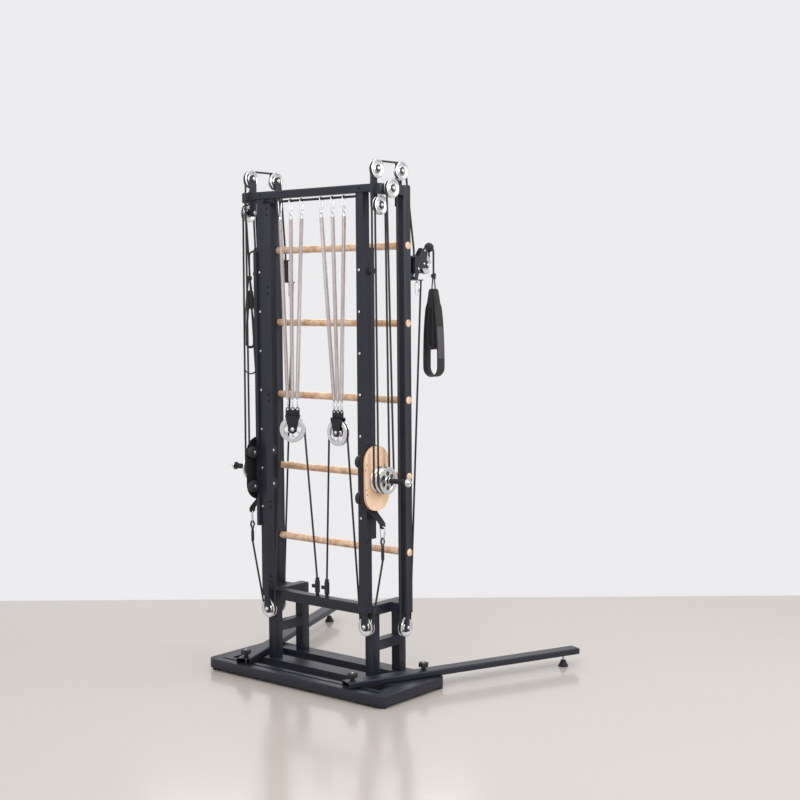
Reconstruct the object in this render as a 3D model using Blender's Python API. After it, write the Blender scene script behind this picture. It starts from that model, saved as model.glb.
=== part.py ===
# Pilates spiral tower: a spring and pulley tower on a low base, in metres, +Z up.
# +Y points to the ladder side, +X to the right-hand side seen from the spring side.

import math

import bmesh
import bpy
from mathutils import Matrix, Vector

# Overall sizes
RUNG_PITCH = 0.300
RUNG_COUNT = 5
LOWEST_RUNG_HEIGHT = 0.544
TOWER_HEIGHT = 1.975
LADDER_WIDTH = 0.738
UPRIGHT_SPACING = 0.532
BASE_WIDTH = 0.956
BASE_DEPTH = 0.392
STAND_HEIGHT = 0.340

# Clearances and walls
GAP = 0.0003
LAP = 0.0008
TUBE_CORNER = 0.003

# Depth positions, from the front face of the two front uprights
FRONT_Y = -0.3790
BASE_OVERHANG = 0.135
LADDER_SETBACK = 0.145

# Base
BASE_FOOT_HEIGHT = 0.012
BASE_FOOT_DIAMETER = 0.040
BASE_RAIL_HEIGHT = 0.037
BASE_CORNER_RADIUS = 0.030
BASE_FRONT_RAIL_WIDTH = 0.072
BASE_REAR_RAIL_WIDTH = 0.076
BASE_SIDE_RAIL_WIDTH = 0.074
BASE_MIDDLE_RAIL_WIDTH = 0.080
CLAMP_SLOT_WIDTH = 0.0125
CLAMP_SLOT_END_MARGIN = 0.050

# Stand
LEG_TUBE = 0.040
LEG_DEPTH_PITCH = 0.162
STRETCHER_HEIGHT = 0.178

# Front uprights, guide bars and top frame
UPRIGHT_WIDTH = 0.036
UPRIGHT_DEPTH = 0.038
UPRIGHT_BOTTOM = 0.316
GUIDE_BAR_THICKNESS = 0.016
GUIDE_BAR_DEPTH = 0.056
GUIDE_BAR_BOTTOM = 0.610
GUIDE_BAR_LENGTH = 1.125
STOP_HEIGHT = 1.645
STOP_DIAMETER = 0.024
TOP_BEAM_HEIGHT = 0.031
SIDE_BEAM_HEIGHT = 0.040
SPRING_BAR_DIAMETER = 0.010
SPRING_BAR_DROP = 0.012
PULLEY_PLATE_THICKNESS = 0.006

# Ladder
LADDER_TUBE = 0.042
LADDER_BOTTOM = 0.303
RUNG_DIAMETER = 0.030
RUNG_END = 0.003
RUNG_STEPS = 10

# Pulleys and rope
ROPE_DIAMETER = 0.008
ROPE_STEP_ANGLE = 31.0
PULLEY_DIAMETER = 0.074
PULLEY_WIDTH = 0.016
PULLEY_PITCH_RADIUS = 0.030
AXLE_DIAMETER = 0.010
AXLE_HEAD_DIAMETER = 0.018
AXLE_HEAD_LENGTH = 0.005
PULLEY_STEPS = 12
HIGH_PULLEY_RISE = 0.056
LOW_PULLEY_DROP = 0.082
SIDE_PULLEY_SETBACK = 0.058
SIDE_PULLEY_DROP = 0.018
FOOT_PULLEY_HEIGHT = 0.243
FRONT_FOOT_PULLEY_HEIGHT = 0.260

# Carriage
CARRIAGE_HEIGHT = 0.842
CARRIAGE_PLATE_WIDTH = 0.147
CARRIAGE_PLATE_LENGTH = 0.256
CARRIAGE_PLATE_CORNER = 0.066
CARRIAGE_STEEL = 0.004
CARRIAGE_BOARD = 0.012
ROLLER_DIAMETER = 0.050
ROLLER_WIDTH = 0.020
ROLLER_PITCH = 0.140
ROLLER_AXLE = 0.008
ROLLER_STEPS = 10
DRUM_DIAMETER = 0.106
DRUM_PITCH_RADIUS = 0.0465
DRUM_FLANGE = 0.003
DRUM_GROOVE_PITCH = 0.0225
DRUM_OFFSET = 0.018
DRUM_WINDOWS = 6
DRUM_AXLE_DIAMETER = 0.016
PEG_SLEEVE_DIAMETER = 0.028
PEG_SLEEVE_LENGTH = 0.092
PEG_WASHER_DIAMETER = 0.044
PEG_PIN_LENGTH = 0.020
HOOK_X = 0.355
HOOK_DROP = 0.052
HOOK_LINK_LENGTH = 0.050
EYE_LENGTH = 0.034
SPLICE_LENGTH = 0.045

# Springs and their yokes
SPRING_PITCH = 0.0595
SPRING_FIRST_OFFSET = 0.053
SPRING_COIL_DIAMETER = 0.014
SPRING_WIRE = 0.0032
SPRING_CURLS = 6
CURL_POINTS = 8
CLIP_LENGTH = 0.064
CLIP_WIDTH = 0.018
CLIP_WIRE = 0.004
CLIP_THIN = 0.003
BOTTOM_CLIP_LENGTH = 0.036
PLUG_LENGTH = 0.012
YOKE_OFFSET = 0.123
YOKE_AXLE_HEIGHT = 1.015
YOKE_EAR_PITCH = 0.026
YOKE_TURN_LEFT = 35.0
YOKE_TURN_RIGHT = 0.0
BIG_PULLEY_DIAMETER = 0.106
BIG_PULLEY_PITCH_RADIUS = 0.0475
BIG_PULLEY_WINDOWS = 6
CLEAT_OFFSET = 0.026
CLEAT_HEIGHT = 0.060
EAR_HOLE_RISE = 0.082

# Strap arms
STRAP_ARM_HEIGHT = 1.672
STRAP_ARM_SETBACK = 0.043
STRAP_ARM_TURN_LEFT = 133.0
STRAP_ARM_TURN_RIGHT = -8.0
STRAP_WHEEL_REACH = 0.0875
STRAP_BALL_DIAMETER = 0.038
STRAP_BALL_RISE = 0.070
BALL_STEPS = 8
STRAP_HANG_REACH = 0.153
GUIDE_ROLL_RADIUS = 0.014
REAR_STRAND_SETBACK = 0.086
KNOT_TOP = 1.640
STRAP_TOP = 1.580
STRAP_BOTTOM = 1.224
STRAP_GAP_TOP = 0.022
STRAP_GAP_BOTTOM_LEFT = 0.045
STRAP_GAP_BOTTOM_RIGHT = 0.070
STRAP_THICKNESS = 0.005
STRAP_WIDTH = 0.045
STRAP_TWIST_LEFT = 85.0
STRAP_TWIST_RIGHT = -12.0

# Outrigger arms
ARM_WIDTH = 0.060
ARM_HEIGHT = 0.025
ARM_WALL = 0.002
ARM_LENGTH = 1.080
ARM_ANGLE = 68.0
ARM_NEAR_OFFSET = 0.280
ARM_NEAR_SETBACK = -0.120
ARM_TRAVEL = 0.025
STUD_DIAMETER = 0.008
NUT_BOTTOM = 0.004
KNOB_STATIONS = (0.030, 0.345)
KNOB_DIAMETER = 0.042
ARM_FOOT_STATION = 1.018
ARM_FOOT_DIAMETER = 0.042

# Places worked out from the sizes above
HALF_LADDER = LADDER_WIDTH / 2
LADDER_INNER = HALF_LADDER - LADDER_TUBE
HALF_SPACING = UPRIGHT_SPACING / 2
BASE_TOP = BASE_FOOT_HEIGHT + BASE_RAIL_HEIGHT
BASE_FRONT = FRONT_Y - BASE_OVERHANG
BASE_REAR = BASE_FRONT + BASE_DEPTH
LEG_FRONT = FRONT_Y + UPRIGHT_DEPTH + GAP
REAR_LEG_FRONT = LEG_FRONT + LEG_DEPTH_PITCH
LADDER_FRONT = FRONT_Y + LADDER_SETBACK
LADDER_REAR = LADDER_FRONT + LADDER_TUBE
LADDER_MIDDLE = LADDER_FRONT + LADDER_TUBE / 2
UPRIGHT_MIDDLE = FRONT_Y + UPRIGHT_DEPTH / 2
UPRIGHT_OUTER = HALF_SPACING + UPRIGHT_WIDTH / 2
BEAM_BOTTOM = TOWER_HEIGHT - TOP_BEAM_HEIGHT
GUIDE_INNER = UPRIGHT_OUTER
GUIDE_OUTER = GUIDE_INNER + GUIDE_BAR_THICKNESS
GUIDE_FRONT = UPRIGHT_MIDDLE - GUIDE_BAR_DEPTH / 2
GUIDE_REAR = UPRIGHT_MIDDLE + GUIDE_BAR_DEPTH / 2
ROLLER_MIDDLE = (GUIDE_INNER + GUIDE_OUTER) / 2
ROLLER_REACH = ROLLER_DIAMETER / 2 + GAP
ROLLER_FRONT = GUIDE_FRONT - ROLLER_REACH
ROLLER_REAR = GUIDE_REAR + ROLLER_REACH
STEEL_INNER = ROLLER_MIDDLE + ROLLER_WIDTH / 2 + 0.003
STEEL_OUTER = STEEL_INNER + CARRIAGE_STEEL
BOARD_INNER = STEEL_OUTER + GAP
BOARD_OUTER = BOARD_INNER + CARRIAGE_BOARD
DRUM_WIDTH = 2 * DRUM_GROOVE_PITCH + DRUM_FLANGE
DRUM_INNER = BOARD_OUTER + 0.004
DRUM_OUTER = DRUM_INNER + DRUM_WIDTH
DRUM_MIDDLE = (DRUM_INNER + DRUM_OUTER) / 2
GROOVE_A = DRUM_MIDDLE - DRUM_GROOVE_PITCH / 2
GROOVE_B = DRUM_MIDDLE + DRUM_GROOVE_PITCH / 2
DRUM_Y = UPRIGHT_MIDDLE + DRUM_OFFSET
HIGH_PLANE = GROOVE_A
LOW_PLANE = HIGH_PLANE + PULLEY_WIDTH
SIDE_PLANE = HALF_LADDER + 0.0035 + PULLEY_WIDTH / 2
FOOT_PLANE = HALF_LADDER - LADDER_TUBE / 2
HIGH_FRONT_CENTRE = (HIGH_PLANE, DRUM_Y - DRUM_PITCH_RADIUS + PULLEY_PITCH_RADIUS, TOWER_HEIGHT + HIGH_PULLEY_RISE)
HIGH_REAR_CENTRE = (HIGH_PLANE, LADDER_MIDDLE - 0.001, TOWER_HEIGHT + HIGH_PULLEY_RISE)
LOW_CENTRE = (LOW_PLANE, HIGH_FRONT_CENTRE[1], TOWER_HEIGHT - LOW_PULLEY_DROP)
SIDE_CENTRE = (SIDE_PLANE, FRONT_Y + SIDE_PULLEY_SETBACK, TOWER_HEIGHT - SIDE_PULLEY_DROP)
REAR_FOOT_CENTRE = (FOOT_PLANE, LADDER_REAR - PULLEY_PITCH_RADIUS + 0.006, FOOT_PULLEY_HEIGHT)
FRONT_FOOT_CENTRE = (HALF_SPACING, UPRIGHT_MIDDLE + 0.003, FRONT_FOOT_PULLEY_HEIGHT)
SPRING_Y = UPRIGHT_MIDDLE
SPRING_BAR_HEIGHT = BEAM_BOTTOM - SPRING_BAR_DROP
STRAP_AXIS = (FOOT_PLANE, LADDER_REAR + STRAP_ARM_SETBACK)
STRAP_ROPE_TOP = STRAP_ARM_HEIGHT + 0.045
REAR_STRAND_TOP = STRAP_ARM_HEIGHT - 0.062 - GAP
ARM_BOTTOM = BASE_TOP + GAP
ARM_TOP = ARM_BOTTOM + ARM_HEIGHT
CARRIAGE_PLATE_HEIGHT = CARRIAGE_HEIGHT + 0.0055
HOOK_HOLE_HEIGHT = CARRIAGE_PLATE_HEIGHT - CARRIAGE_PLATE_LENGTH / 2 - HOOK_DROP
LINK_TOP = HOOK_HOLE_HEIGHT - 0.0045 + CLIP_WIRE / 2 - LAP
SPLICE_BOTTOM = LINK_TOP - HOOK_LINK_LENGTH - EYE_LENGTH - SPLICE_LENGTH
TOP_CLIP_HEIGHT = SPRING_BAR_HEIGHT + SPRING_BAR_DIAMETER / 2 + CLIP_WIRE / 2 - LAP
SPRING_TOP = TOP_CLIP_HEIGHT - CLIP_LENGTH - CLIP_WIRE / 2 - PLUG_LENGTH
EAR_HOLE_HEIGHT = YOKE_AXLE_HEIGHT + EAR_HOLE_RISE
BOTTOM_CLIP_LOW = EAR_HOLE_HEIGHT + 0.004 - CLIP_THIN / 2 + LAP
SPRING_BOTTOM = BOTTOM_CLIP_LOW + BOTTOM_CLIP_LENGTH + CLIP_THIN / 2 + PLUG_LENGTH
YOKE_Y = UPRIGHT_MIDDLE + 0.008
CLEAT_TOP = STAND_HEIGHT + CLEAT_HEIGHT


def clear_scene():
    for item in list(bpy.data.objects):
        bpy.data.objects.remove(item, do_unlink=True)


def make_material(name, colour, roughness, metallic):
    material = bpy.data.materials.new(name)
    material.use_nodes = True
    shader = material.node_tree.nodes["Principled BSDF"]
    shader.inputs["Base Color"].default_value = (*colour, 1.0)
    shader.inputs["Roughness"].default_value = roughness
    shader.inputs["Metallic"].default_value = metallic
    return material


# Mesh building blocks. Each returns a bmesh in world coordinates.

def rounded_rectangle(width, height, radius, steps=2):
    points = []
    corners = ((1, 1, 0), (-1, 1, 90), (-1, -1, 180), (1, -1, 270))
    for sign_u, sign_v, start in corners:
        centre_u = sign_u * (width / 2 - radius)
        centre_v = sign_v * (height / 2 - radius)
        for step in range(steps + 1):
            angle = math.radians(start + 90 * step / steps)
            points.append((centre_u + radius * math.cos(angle), centre_v + radius * math.sin(angle)))
    return points


def circle(radius, steps, centre=(0.0, 0.0)):
    points = []
    for step in range(steps):
        angle = 2 * math.pi * (step + 0.5) / steps
        points.append((centre[0] + radius * math.cos(angle), centre[1] + radius * math.sin(angle)))
    return points


def to_world(axis, u, v, along):
    if axis == "X":
        return (along, u, v)
    if axis == "Y":
        return (u, along, v)
    return (u, v, along)


def prism(outline, axis, low, high, centre=(0.0, 0.0)):
    shape = bmesh.new()
    ends = []
    for along in (low, high):
        ends.append([shape.verts.new(to_world(axis, u + centre[0], v + centre[1], along)) for u, v in outline])
    count = len(outline)
    shape.faces.new(ends[0])
    shape.faces.new(ends[1])
    for index in range(count):
        after = (index + 1) % count
        shape.faces.new((ends[0][index], ends[0][after], ends[1][after], ends[1][index]))
    bmesh.ops.recalc_face_normals(shape, faces=shape.faces[:])
    return shape


def block(low, high):
    outline = [(low[0], low[1]), (high[0], low[1]), (high[0], high[1]), (low[0], high[1])]
    return prism(outline, "Z", low[2], high[2])


def bar(axis, low, high, radius=TUBE_CORNER, steps=1):
    order = {"X": (1, 2, 0), "Y": (0, 2, 1), "Z": (0, 1, 2)}[axis]
    u, v, along = order
    outline = rounded_rectangle(high[u] - low[u], high[v] - low[v], radius, steps)
    centre = ((high[u] + low[u]) / 2, (high[v] + low[v]) / 2)
    return prism(outline, axis, low[along], high[along], centre)


def rod(axis, centre, radius, low, high, steps=8):
    return prism(circle(radius, steps), axis, low, high, centre)


def turned(profile, axis, centre, steps):
    """A closed profile of (along, radius) points turned about an axis through centre."""
    shape = bmesh.new()
    order = {"X": (1, 2, 0), "Y": (0, 2, 1), "Z": (0, 1, 2)}[axis]
    base = (centre[order[0]], centre[order[1]], centre[order[2]])
    rings = []
    for step in range(steps):
        angle = 2 * math.pi * (step + 0.5) / steps
        ring = []
        for along, radius in profile:
            u = base[0] + radius * math.cos(angle)
            v = base[1] + radius * math.sin(angle)
            ring.append(shape.verts.new(to_world(axis, u, v, base[2] + along)))
        rings.append(ring)
    count = len(profile)
    for step in range(steps):
        near, far = rings[step], rings[(step + 1) % steps]
        for index in range(count):
            after = (index + 1) % count
            shape.faces.new((near[index], near[after], far[after], far[index]))
    bmesh.ops.recalc_face_normals(shape, faces=shape.faces[:])
    return shape


def lathed(profile, axis, centre, steps):
    """An open profile of (along, radius) points turned into a solid, closed at its two ends."""
    shape = bmesh.new()
    order = {"X": (1, 2, 0), "Y": (0, 2, 1), "Z": (0, 1, 2)}[axis]
    base = (centre[order[0]], centre[order[1]], centre[order[2]])
    rings = []
    for along, radius in profile:
        ring = []
        for step in range(steps):
            angle = 2 * math.pi * (step + 0.5) / steps
            u = base[0] + radius * math.cos(angle)
            v = base[1] + radius * math.sin(angle)
            ring.append(shape.verts.new(to_world(axis, u, v, base[2] + along)))
        rings.append(ring)
    for near, far in zip(rings[:-1], rings[1:]):
        for step in range(steps):
            after = (step + 1) % steps
            shape.faces.new((near[step], near[after], far[after], far[step]))
    shape.faces.new(rings[0])
    shape.faces.new(rings[-1])
    bmesh.ops.recalc_face_normals(shape, faces=shape.faces[:])
    return shape


def moved(shape, matrix):
    bmesh.ops.transform(shape, matrix=matrix, verts=shape.verts[:])
    if matrix.determinant() < 0:
        bmesh.ops.reverse_faces(shape, faces=shape.faces[:])
    return shape


def to_side(shape, side):
    return moved(shape, Matrix.Scale(-1, 4, (1, 0, 0))) if side < 0 else shape


def scratch_object(shape):
    mesh = bpy.data.meshes.new("scratch")
    shape.to_mesh(mesh)
    shape.free()
    item = bpy.data.objects.new("scratch", mesh)
    bpy.context.scene.collection.objects.link(item)
    return item


def combined(first, others, operation):
    """The first shape with the others joined to it or cut from it, as one bmesh."""
    target = scratch_object(first)
    tools = [scratch_object(other) for other in others]
    for tool in tools:
        step = target.modifiers.new("step", "BOOLEAN")
        step.operation = operation
        step.solver = "EXACT"
        step.object = tool
    graph = bpy.context.evaluated_depsgraph_get()
    mesh = bpy.data.meshes.new_from_object(target.evaluated_get(graph))
    result = bmesh.new()
    result.from_mesh(mesh)
    bpy.data.meshes.remove(mesh)
    for item in (target, *tools):
        bpy.data.objects.remove(item, do_unlink=True)
    bmesh.ops.remove_doubles(result, verts=result.verts[:], dist=0.000002)
    return result


def joined(shapes):
    return combined(shapes[0], shapes[1:], "UNION")


def cut(shape, cutters):
    return combined(shape, cutters, "DIFFERENCE")


def finish(name, shape, material, origin=(0.0, 0.0, 0.0)):
    """The named object for one sub-part, with its origin on its joint axis."""
    bmesh.ops.translate(shape, vec=-Vector(origin), verts=shape.verts[:])
    mesh = bpy.data.meshes.new(name)
    shape.to_mesh(mesh)
    shape.free()
    mesh.shade_smooth()
    mesh.set_sharp_from_angle(angle=math.radians(35))
    item = bpy.data.objects.new(name, mesh)
    bpy.context.scene.collection.objects.link(item)
    item.data.materials.append(material)
    item.location = origin
    return item


def make_tubes(name, routes, diameter, material, resolution=2, closed=False):
    """One curve object with a round tube along each route of points."""
    curve = bpy.data.curves.new(name, "CURVE")
    curve.dimensions = "3D"
    curve.bevel_depth = diameter / 2
    curve.bevel_resolution = resolution
    curve.use_fill_caps = not closed
    for route in routes:
        spline = curve.splines.new("POLY")
        spline.points.add(len(route) - 1)
        for point, place in zip(spline.points, route):
            point.co = (*place, 1.0)
        spline.use_cyclic_u = closed
    item = bpy.data.objects.new(name, curve)
    bpy.context.scene.collection.objects.link(item)
    if material is not None:
        item.data.materials.append(material)
    return item


def tube_shape(routes, diameter, resolution=1, closed=False):
    """The same tubes as a bmesh, to be joined with other shapes."""
    item = make_tubes("scratch", routes, diameter, None, resolution, closed)
    graph = bpy.context.evaluated_depsgraph_get()
    mesh = bpy.data.meshes.new_from_object(item.evaluated_get(graph))
    shape = bmesh.new()
    shape.from_mesh(mesh)
    bpy.data.meshes.remove(mesh)
    bpy.data.objects.remove(item, do_unlink=True)
    bmesh.ops.remove_doubles(shape, verts=shape.verts[:], dist=0.000002)
    bmesh.ops.recalc_face_normals(shape, faces=shape.faces[:])
    return shape


def arc(axis, centre, radius, start, end, steps):
    """Points along an arc in the plane square to the axis, angles in degrees."""
    points = []
    for step in range(steps + 1):
        angle = math.radians(start + (end - start) * step / steps)
        u = radius * math.cos(angle)
        v = radius * math.sin(angle)
        if axis == "X":
            points.append((centre[0], centre[1] + u, centre[2] + v))
        elif axis == "Y":
            points.append((centre[0] + u, centre[1], centre[2] + v))
        else:
            points.append((centre[0] + u, centre[1] + v, centre[2]))
    return points


def oval(axis, top, length, width, steps=4):
    """A closed route like a chain link that hangs from its top point."""
    reach = width / 2
    upper = (top[0], top[1], top[2] - reach)
    lower = (top[0], top[1], top[2] - length + reach)
    return arc(axis, upper, reach, 0, 180, steps) + arc(axis, lower, reach, 180, 360, steps)


def mirrored(route, side):
    return [(side * x, y, z) for x, y, z in route]


# Pulleys

def groove_floor(pitch_radius):
    """A floor radius that clears the inside of the faceted rope."""
    return pitch_radius * math.cos(math.radians(ROPE_STEP_ANGLE / 2)) - ROPE_DIAMETER / 2 - GAP


def grooved_wheel(axis, centre, diameter, width, pitch_radius, bore, steps=PULLEY_STEPS):
    half = width / 2
    floor = groove_floor(pitch_radius)
    floor_half = ROPE_DIAMETER / 2 + GAP
    profile = [
        (-half, bore / 2),
        (-half, diameter / 2),
        (-floor_half, floor),
        (floor_half, floor),
        (half, diameter / 2),
        (half, bore / 2),
    ]
    return turned(profile, axis, centre, steps)


def stepped_axle(axis, centre, start, wheel_width, end_sign=1):
    """A bolt from its bracket face at start through a wheel, with a head past the wheel."""
    order = {"X": 0, "Y": 1}[axis]
    other = {"X": (centre[1], centre[2]), "Y": (centre[0], centre[2])}[axis]
    wheel_near = centre[order] - end_sign * (wheel_width / 2 + GAP)
    wheel_far = centre[order] + end_sign * (wheel_width / 2 + GAP)
    tip = wheel_far + end_sign * AXLE_HEAD_LENGTH
    pieces = [rod(axis, other, AXLE_DIAMETER / 2, min(start, wheel_far), max(start, wheel_far) + 0.0001)]
    pieces.append(rod(axis, other, AXLE_HEAD_DIAMETER / 2, min(wheel_far, tip), max(wheel_far, tip)))
    if abs(wheel_near - start) > 0.001:
        low = min(start, wheel_near)
        high = max(start, wheel_near)
        pieces.append(rod(axis, other, AXLE_HEAD_DIAMETER / 2, low, high))
    return pieces


def make_pulley(name, axis, centre, side, material, diameter=PULLEY_DIAMETER, pitch_radius=PULLEY_PITCH_RADIUS):
    bore = AXLE_DIAMETER + 4 * GAP
    shape = to_side(grooved_wheel(axis, centre, diameter, PULLEY_WIDTH, pitch_radius, bore), side)
    return finish(name, shape, material, (side * centre[0], centre[1], centre[2]))


# Base and stand

def make_base(material):
    inner_x = BASE_WIDTH / 2 - BASE_SIDE_RAIL_WIDTH
    middle_front = LEG_FRONT + LEG_TUBE / 2 - BASE_MIDDLE_RAIL_WIDTH / 2
    middle_rear = middle_front + BASE_MIDDLE_RAIL_WIDTH
    centre = (0.0, (BASE_FRONT + BASE_REAR) / 2)
    outline = rounded_rectangle(BASE_WIDTH, BASE_DEPTH, BASE_CORNER_RADIUS, 3)
    plate = prism(outline, "Z", BASE_FOOT_HEIGHT, BASE_TOP, centre)
    low = BASE_FOOT_HEIGHT - 0.01
    high = BASE_TOP + 0.01
    front_gap = (BASE_FRONT + BASE_FRONT_RAIL_WIDTH, middle_front)
    rear_gap = (middle_rear, BASE_REAR - BASE_REAR_RAIL_WIDTH)
    cutters = [block((-inner_x, near, low), (inner_x, far, high)) for near, far in (front_gap, rear_gap)]
    stations = [arm_point(station) for station in KNOB_STATIONS]
    slot_end = BASE_WIDTH / 2 - CLAMP_SLOT_END_MARGIN
    half_slot = CLAMP_SLOT_WIDTH / 2
    front_slot = stations[0][1]
    cutters.append(block((-slot_end, front_slot - half_slot, low), (slot_end, front_slot + half_slot, high)))
    for side in (-1, 1):
        near = stations[1][0] - ARM_TRAVEL - half_slot
        far = stations[1][0] + ARM_TRAVEL + half_slot
        rear_slot = stations[1][1]
        cutter = block((near, rear_slot - half_slot, low), (far, rear_slot + half_slot, high))
        cutters.append(to_side(cutter, side))
    shape = joined([cut(plate, cutters)] + base_foot_shapes())
    return finish("base_frame", shape, material)


def base_foot_shapes():
    feet = []
    for side in (-1, 1):
        for y in (BASE_FRONT + 0.032, BASE_REAR - 0.020):
            x = side * (BASE_WIDTH / 2 - 0.026)
            feet.append(rod("Z", (x, y), BASE_FOOT_DIAMETER / 2, 0.0, BASE_FOOT_HEIGHT + LAP))
    return feet


def make_stand(material):
    """Four legs under a frame, with a stub out to each ladder upright."""
    outer = HALF_SPACING + LEG_TUBE / 2
    inner = HALF_SPACING - LEG_TUBE / 2
    beam_bottom = STAND_HEIGHT - LEG_TUBE
    leg_bottom = BASE_TOP + GAP
    rear = REAR_LEG_FRONT + LEG_TUBE
    weld = 0.0003
    lap = 0.004
    beam_low = (-outer + lap, LEG_FRONT + weld, beam_bottom)
    beam_high = (outer - lap, LEG_FRONT + LEG_TUBE - weld, STAND_HEIGHT)
    shapes = [block(beam_low, beam_high)]
    for side in (-1, 1):
        pieces = [
            block((inner, LEG_FRONT, leg_bottom), (outer, LEG_FRONT + LEG_TUBE, STAND_HEIGHT - lap)),
            block((inner, REAR_LEG_FRONT, leg_bottom), (outer, rear, STAND_HEIGHT - lap)),
            block((inner + weld, LEG_FRONT + lap, beam_bottom + weld),
                  (outer - weld, rear - lap, STAND_HEIGHT - weld)),
            block((inner + weld, LEG_FRONT + lap, STRETCHER_HEIGHT - LEG_TUBE / 2),
                  (outer - weld, rear - lap, STRETCHER_HEIGHT + LEG_TUBE / 2)),
            block((inner + lap, LADDER_FRONT + weld, beam_bottom + 2 * weld),
                  (LADDER_INNER - GAP, LADDER_REAR - weld, STAND_HEIGHT - 2 * weld)),
        ]
        shapes.extend(to_side(piece, side) for piece in pieces)
    shapes.extend(rope_lock_shape(side) for side in (-1, 1))
    return finish("stand_frame", joined(shapes), material)


def make_front_frame(material):
    """The two uprights with their guide bars, and the spring bar with its links between them."""
    shapes = []
    for side in (-1, 1):
        shapes.append(front_upright_shape(side))
        shapes.append(guide_bar_shape(side))
        shapes.extend(top_clip_shapes(side))
    reach = HALF_SPACING - UPRIGHT_WIDTH / 2 + LAP
    shapes.append(rod("X", (SPRING_Y, SPRING_BAR_HEIGHT), SPRING_BAR_DIAMETER / 2, -reach, reach))
    return finish("front_frame", joined(shapes), material)


def front_upright_shape(side):
    """An upright with the fork under it that carries the front foot pulley."""
    low_x = HALF_SPACING - UPRIGHT_WIDTH / 2
    top = BEAM_BOTTOM - GAP
    x, y, z = FRONT_FOOT_CENTRE
    shapes = [bar("Z", (low_x, FRONT_Y, UPRIGHT_BOTTOM), (UPRIGHT_OUTER, FRONT_Y + UPRIGHT_DEPTH, top))]
    cheek = 0.0035
    inset = PULLEY_WIDTH / 2 + 0.0015
    for face in (y - inset - cheek, y + inset):
        shapes.append(block((x - 0.014, face, z - 0.016), (x + 0.014, face + cheek, UPRIGHT_BOTTOM + 0.001)))
    front = y - inset - cheek - AXLE_HEAD_LENGTH
    rear = y + inset + cheek + 0.002
    shapes.append(rod("Y", (x, z), AXLE_DIAMETER / 2, front + 0.001, rear))
    shapes.append(rod("Y", (x, z), AXLE_HEAD_DIAMETER / 2, front, front + AXLE_HEAD_LENGTH + LAP))
    return to_side(joined(shapes), side)


def guide_bar_shape(side):
    """A flat bar for the rollers, and the stop above the carriage."""
    low = (GUIDE_INNER - LAP, GUIDE_FRONT, GUIDE_BAR_BOTTOM)
    high = (GUIDE_OUTER, GUIDE_REAR, GUIDE_BAR_BOTTOM + GUIDE_BAR_LENGTH)
    flat = bar("Z", low, high, 0.002, 1)
    stop = rod("X", (UPRIGHT_MIDDLE, STOP_HEIGHT), STOP_DIAMETER / 2, GUIDE_OUTER - 0.001, BOARD_OUTER)
    return to_side(joined([flat, stop]), side)


def make_top_frame(material):
    """The front beam over the uprights and the two side beams back to the ladder."""
    reach = LADDER_INNER + LAP
    low = (-reach, FRONT_Y, BEAM_BOTTOM)
    high = (reach, FRONT_Y + UPRIGHT_DEPTH, TOWER_HEIGHT)
    shapes = [bar("X", low, high)]
    shapes.extend(top_side_beam_shape(side) for side in (-1, 1))
    return finish("top_frame", joined(shapes), material)


def top_side_beam_shape(side):
    """A side beam with the plates and bolts that carry the three front top pulleys."""
    bottom = TOWER_HEIGHT - SIDE_BEAM_HEIGHT
    low = (LADDER_INNER, FRONT_Y + 0.0002, bottom)
    shapes = [bar("Y", low, (HALF_LADDER, LADDER_FRONT - GAP, TOWER_HEIGHT - 0.0002))]
    plate_low = (LADDER_INNER - PULLEY_PLATE_THICKNESS, FRONT_Y + 0.001, LOW_CENTRE[2] - 0.022)
    plate_high = (LADDER_INNER + 0.0005, FRONT_Y + UPRIGHT_DEPTH - 0.001, HIGH_FRONT_CENTRE[2] + 0.022)
    shapes.append(block(plate_low, plate_high))
    shapes.extend(stepped_axle("X", HIGH_FRONT_CENTRE, LADDER_INNER, PULLEY_WIDTH))
    shapes.extend(stepped_axle("X", LOW_CENTRE, LADDER_INNER, PULLEY_WIDTH))
    shapes.extend(stepped_axle("X", SIDE_CENTRE, HALF_LADDER - 0.001, PULLEY_WIDTH))
    return to_side(joined(shapes), side)


def make_ladder_upright(name, side, material):
    """A ladder upright with its top pulley plate, the fork at its foot and the strap arm's bracket."""
    solid = [bar("Z", (LADDER_INNER, LADDER_FRONT, LADDER_BOTTOM), (HALF_LADDER, LADDER_REAR, TOWER_HEIGHT))]
    plate_low = (LADDER_INNER - PULLEY_PLATE_THICKNESS, LADDER_FRONT + 0.002, TOWER_HEIGHT - 0.080)
    plate_high = (LADDER_INNER + 0.0005, LADDER_REAR - 0.002, HIGH_REAR_CENTRE[2] + 0.022)
    solid.append(block(plate_low, plate_high))
    solid.extend(stepped_axle("X", HIGH_REAR_CENTRE, LADDER_INNER, PULLEY_WIDTH))
    x, y, z = REAR_FOOT_CENTRE
    cheek = 0.003
    inset = PULLEY_WIDTH / 2 + 0.0015
    for face in (x - inset - cheek, x + inset):
        solid.append(block((face, y - 0.012, z - 0.016), (face + cheek, y + 0.012, LADDER_BOTTOM + 0.001)))
    head = x + inset + cheek + AXLE_HEAD_LENGTH
    solid.append(rod("X", (y, z), AXLE_DIAMETER / 2, x - inset - cheek - 0.002, head - 0.001))
    solid.append(rod("X", (y, z), AXLE_HEAD_DIAMETER / 2, head - AXLE_HEAD_LENGTH - 0.0005, head))
    bores = []
    for index in range(RUNG_COUNT):
        height = LOWEST_RUNG_HEIGHT + index * RUNG_PITCH
        bores.append(rod("X", (LADDER_MIDDLE, height), RUNG_DIAMETER / 2 + GAP, LADDER_INNER - 0.002,
                         HALF_LADDER + 0.002, RUNG_STEPS))
    solid.append(strap_bracket_shape())
    shape = to_side(cut(joined(solid), bores), side)
    return finish(name, shape, material)


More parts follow.
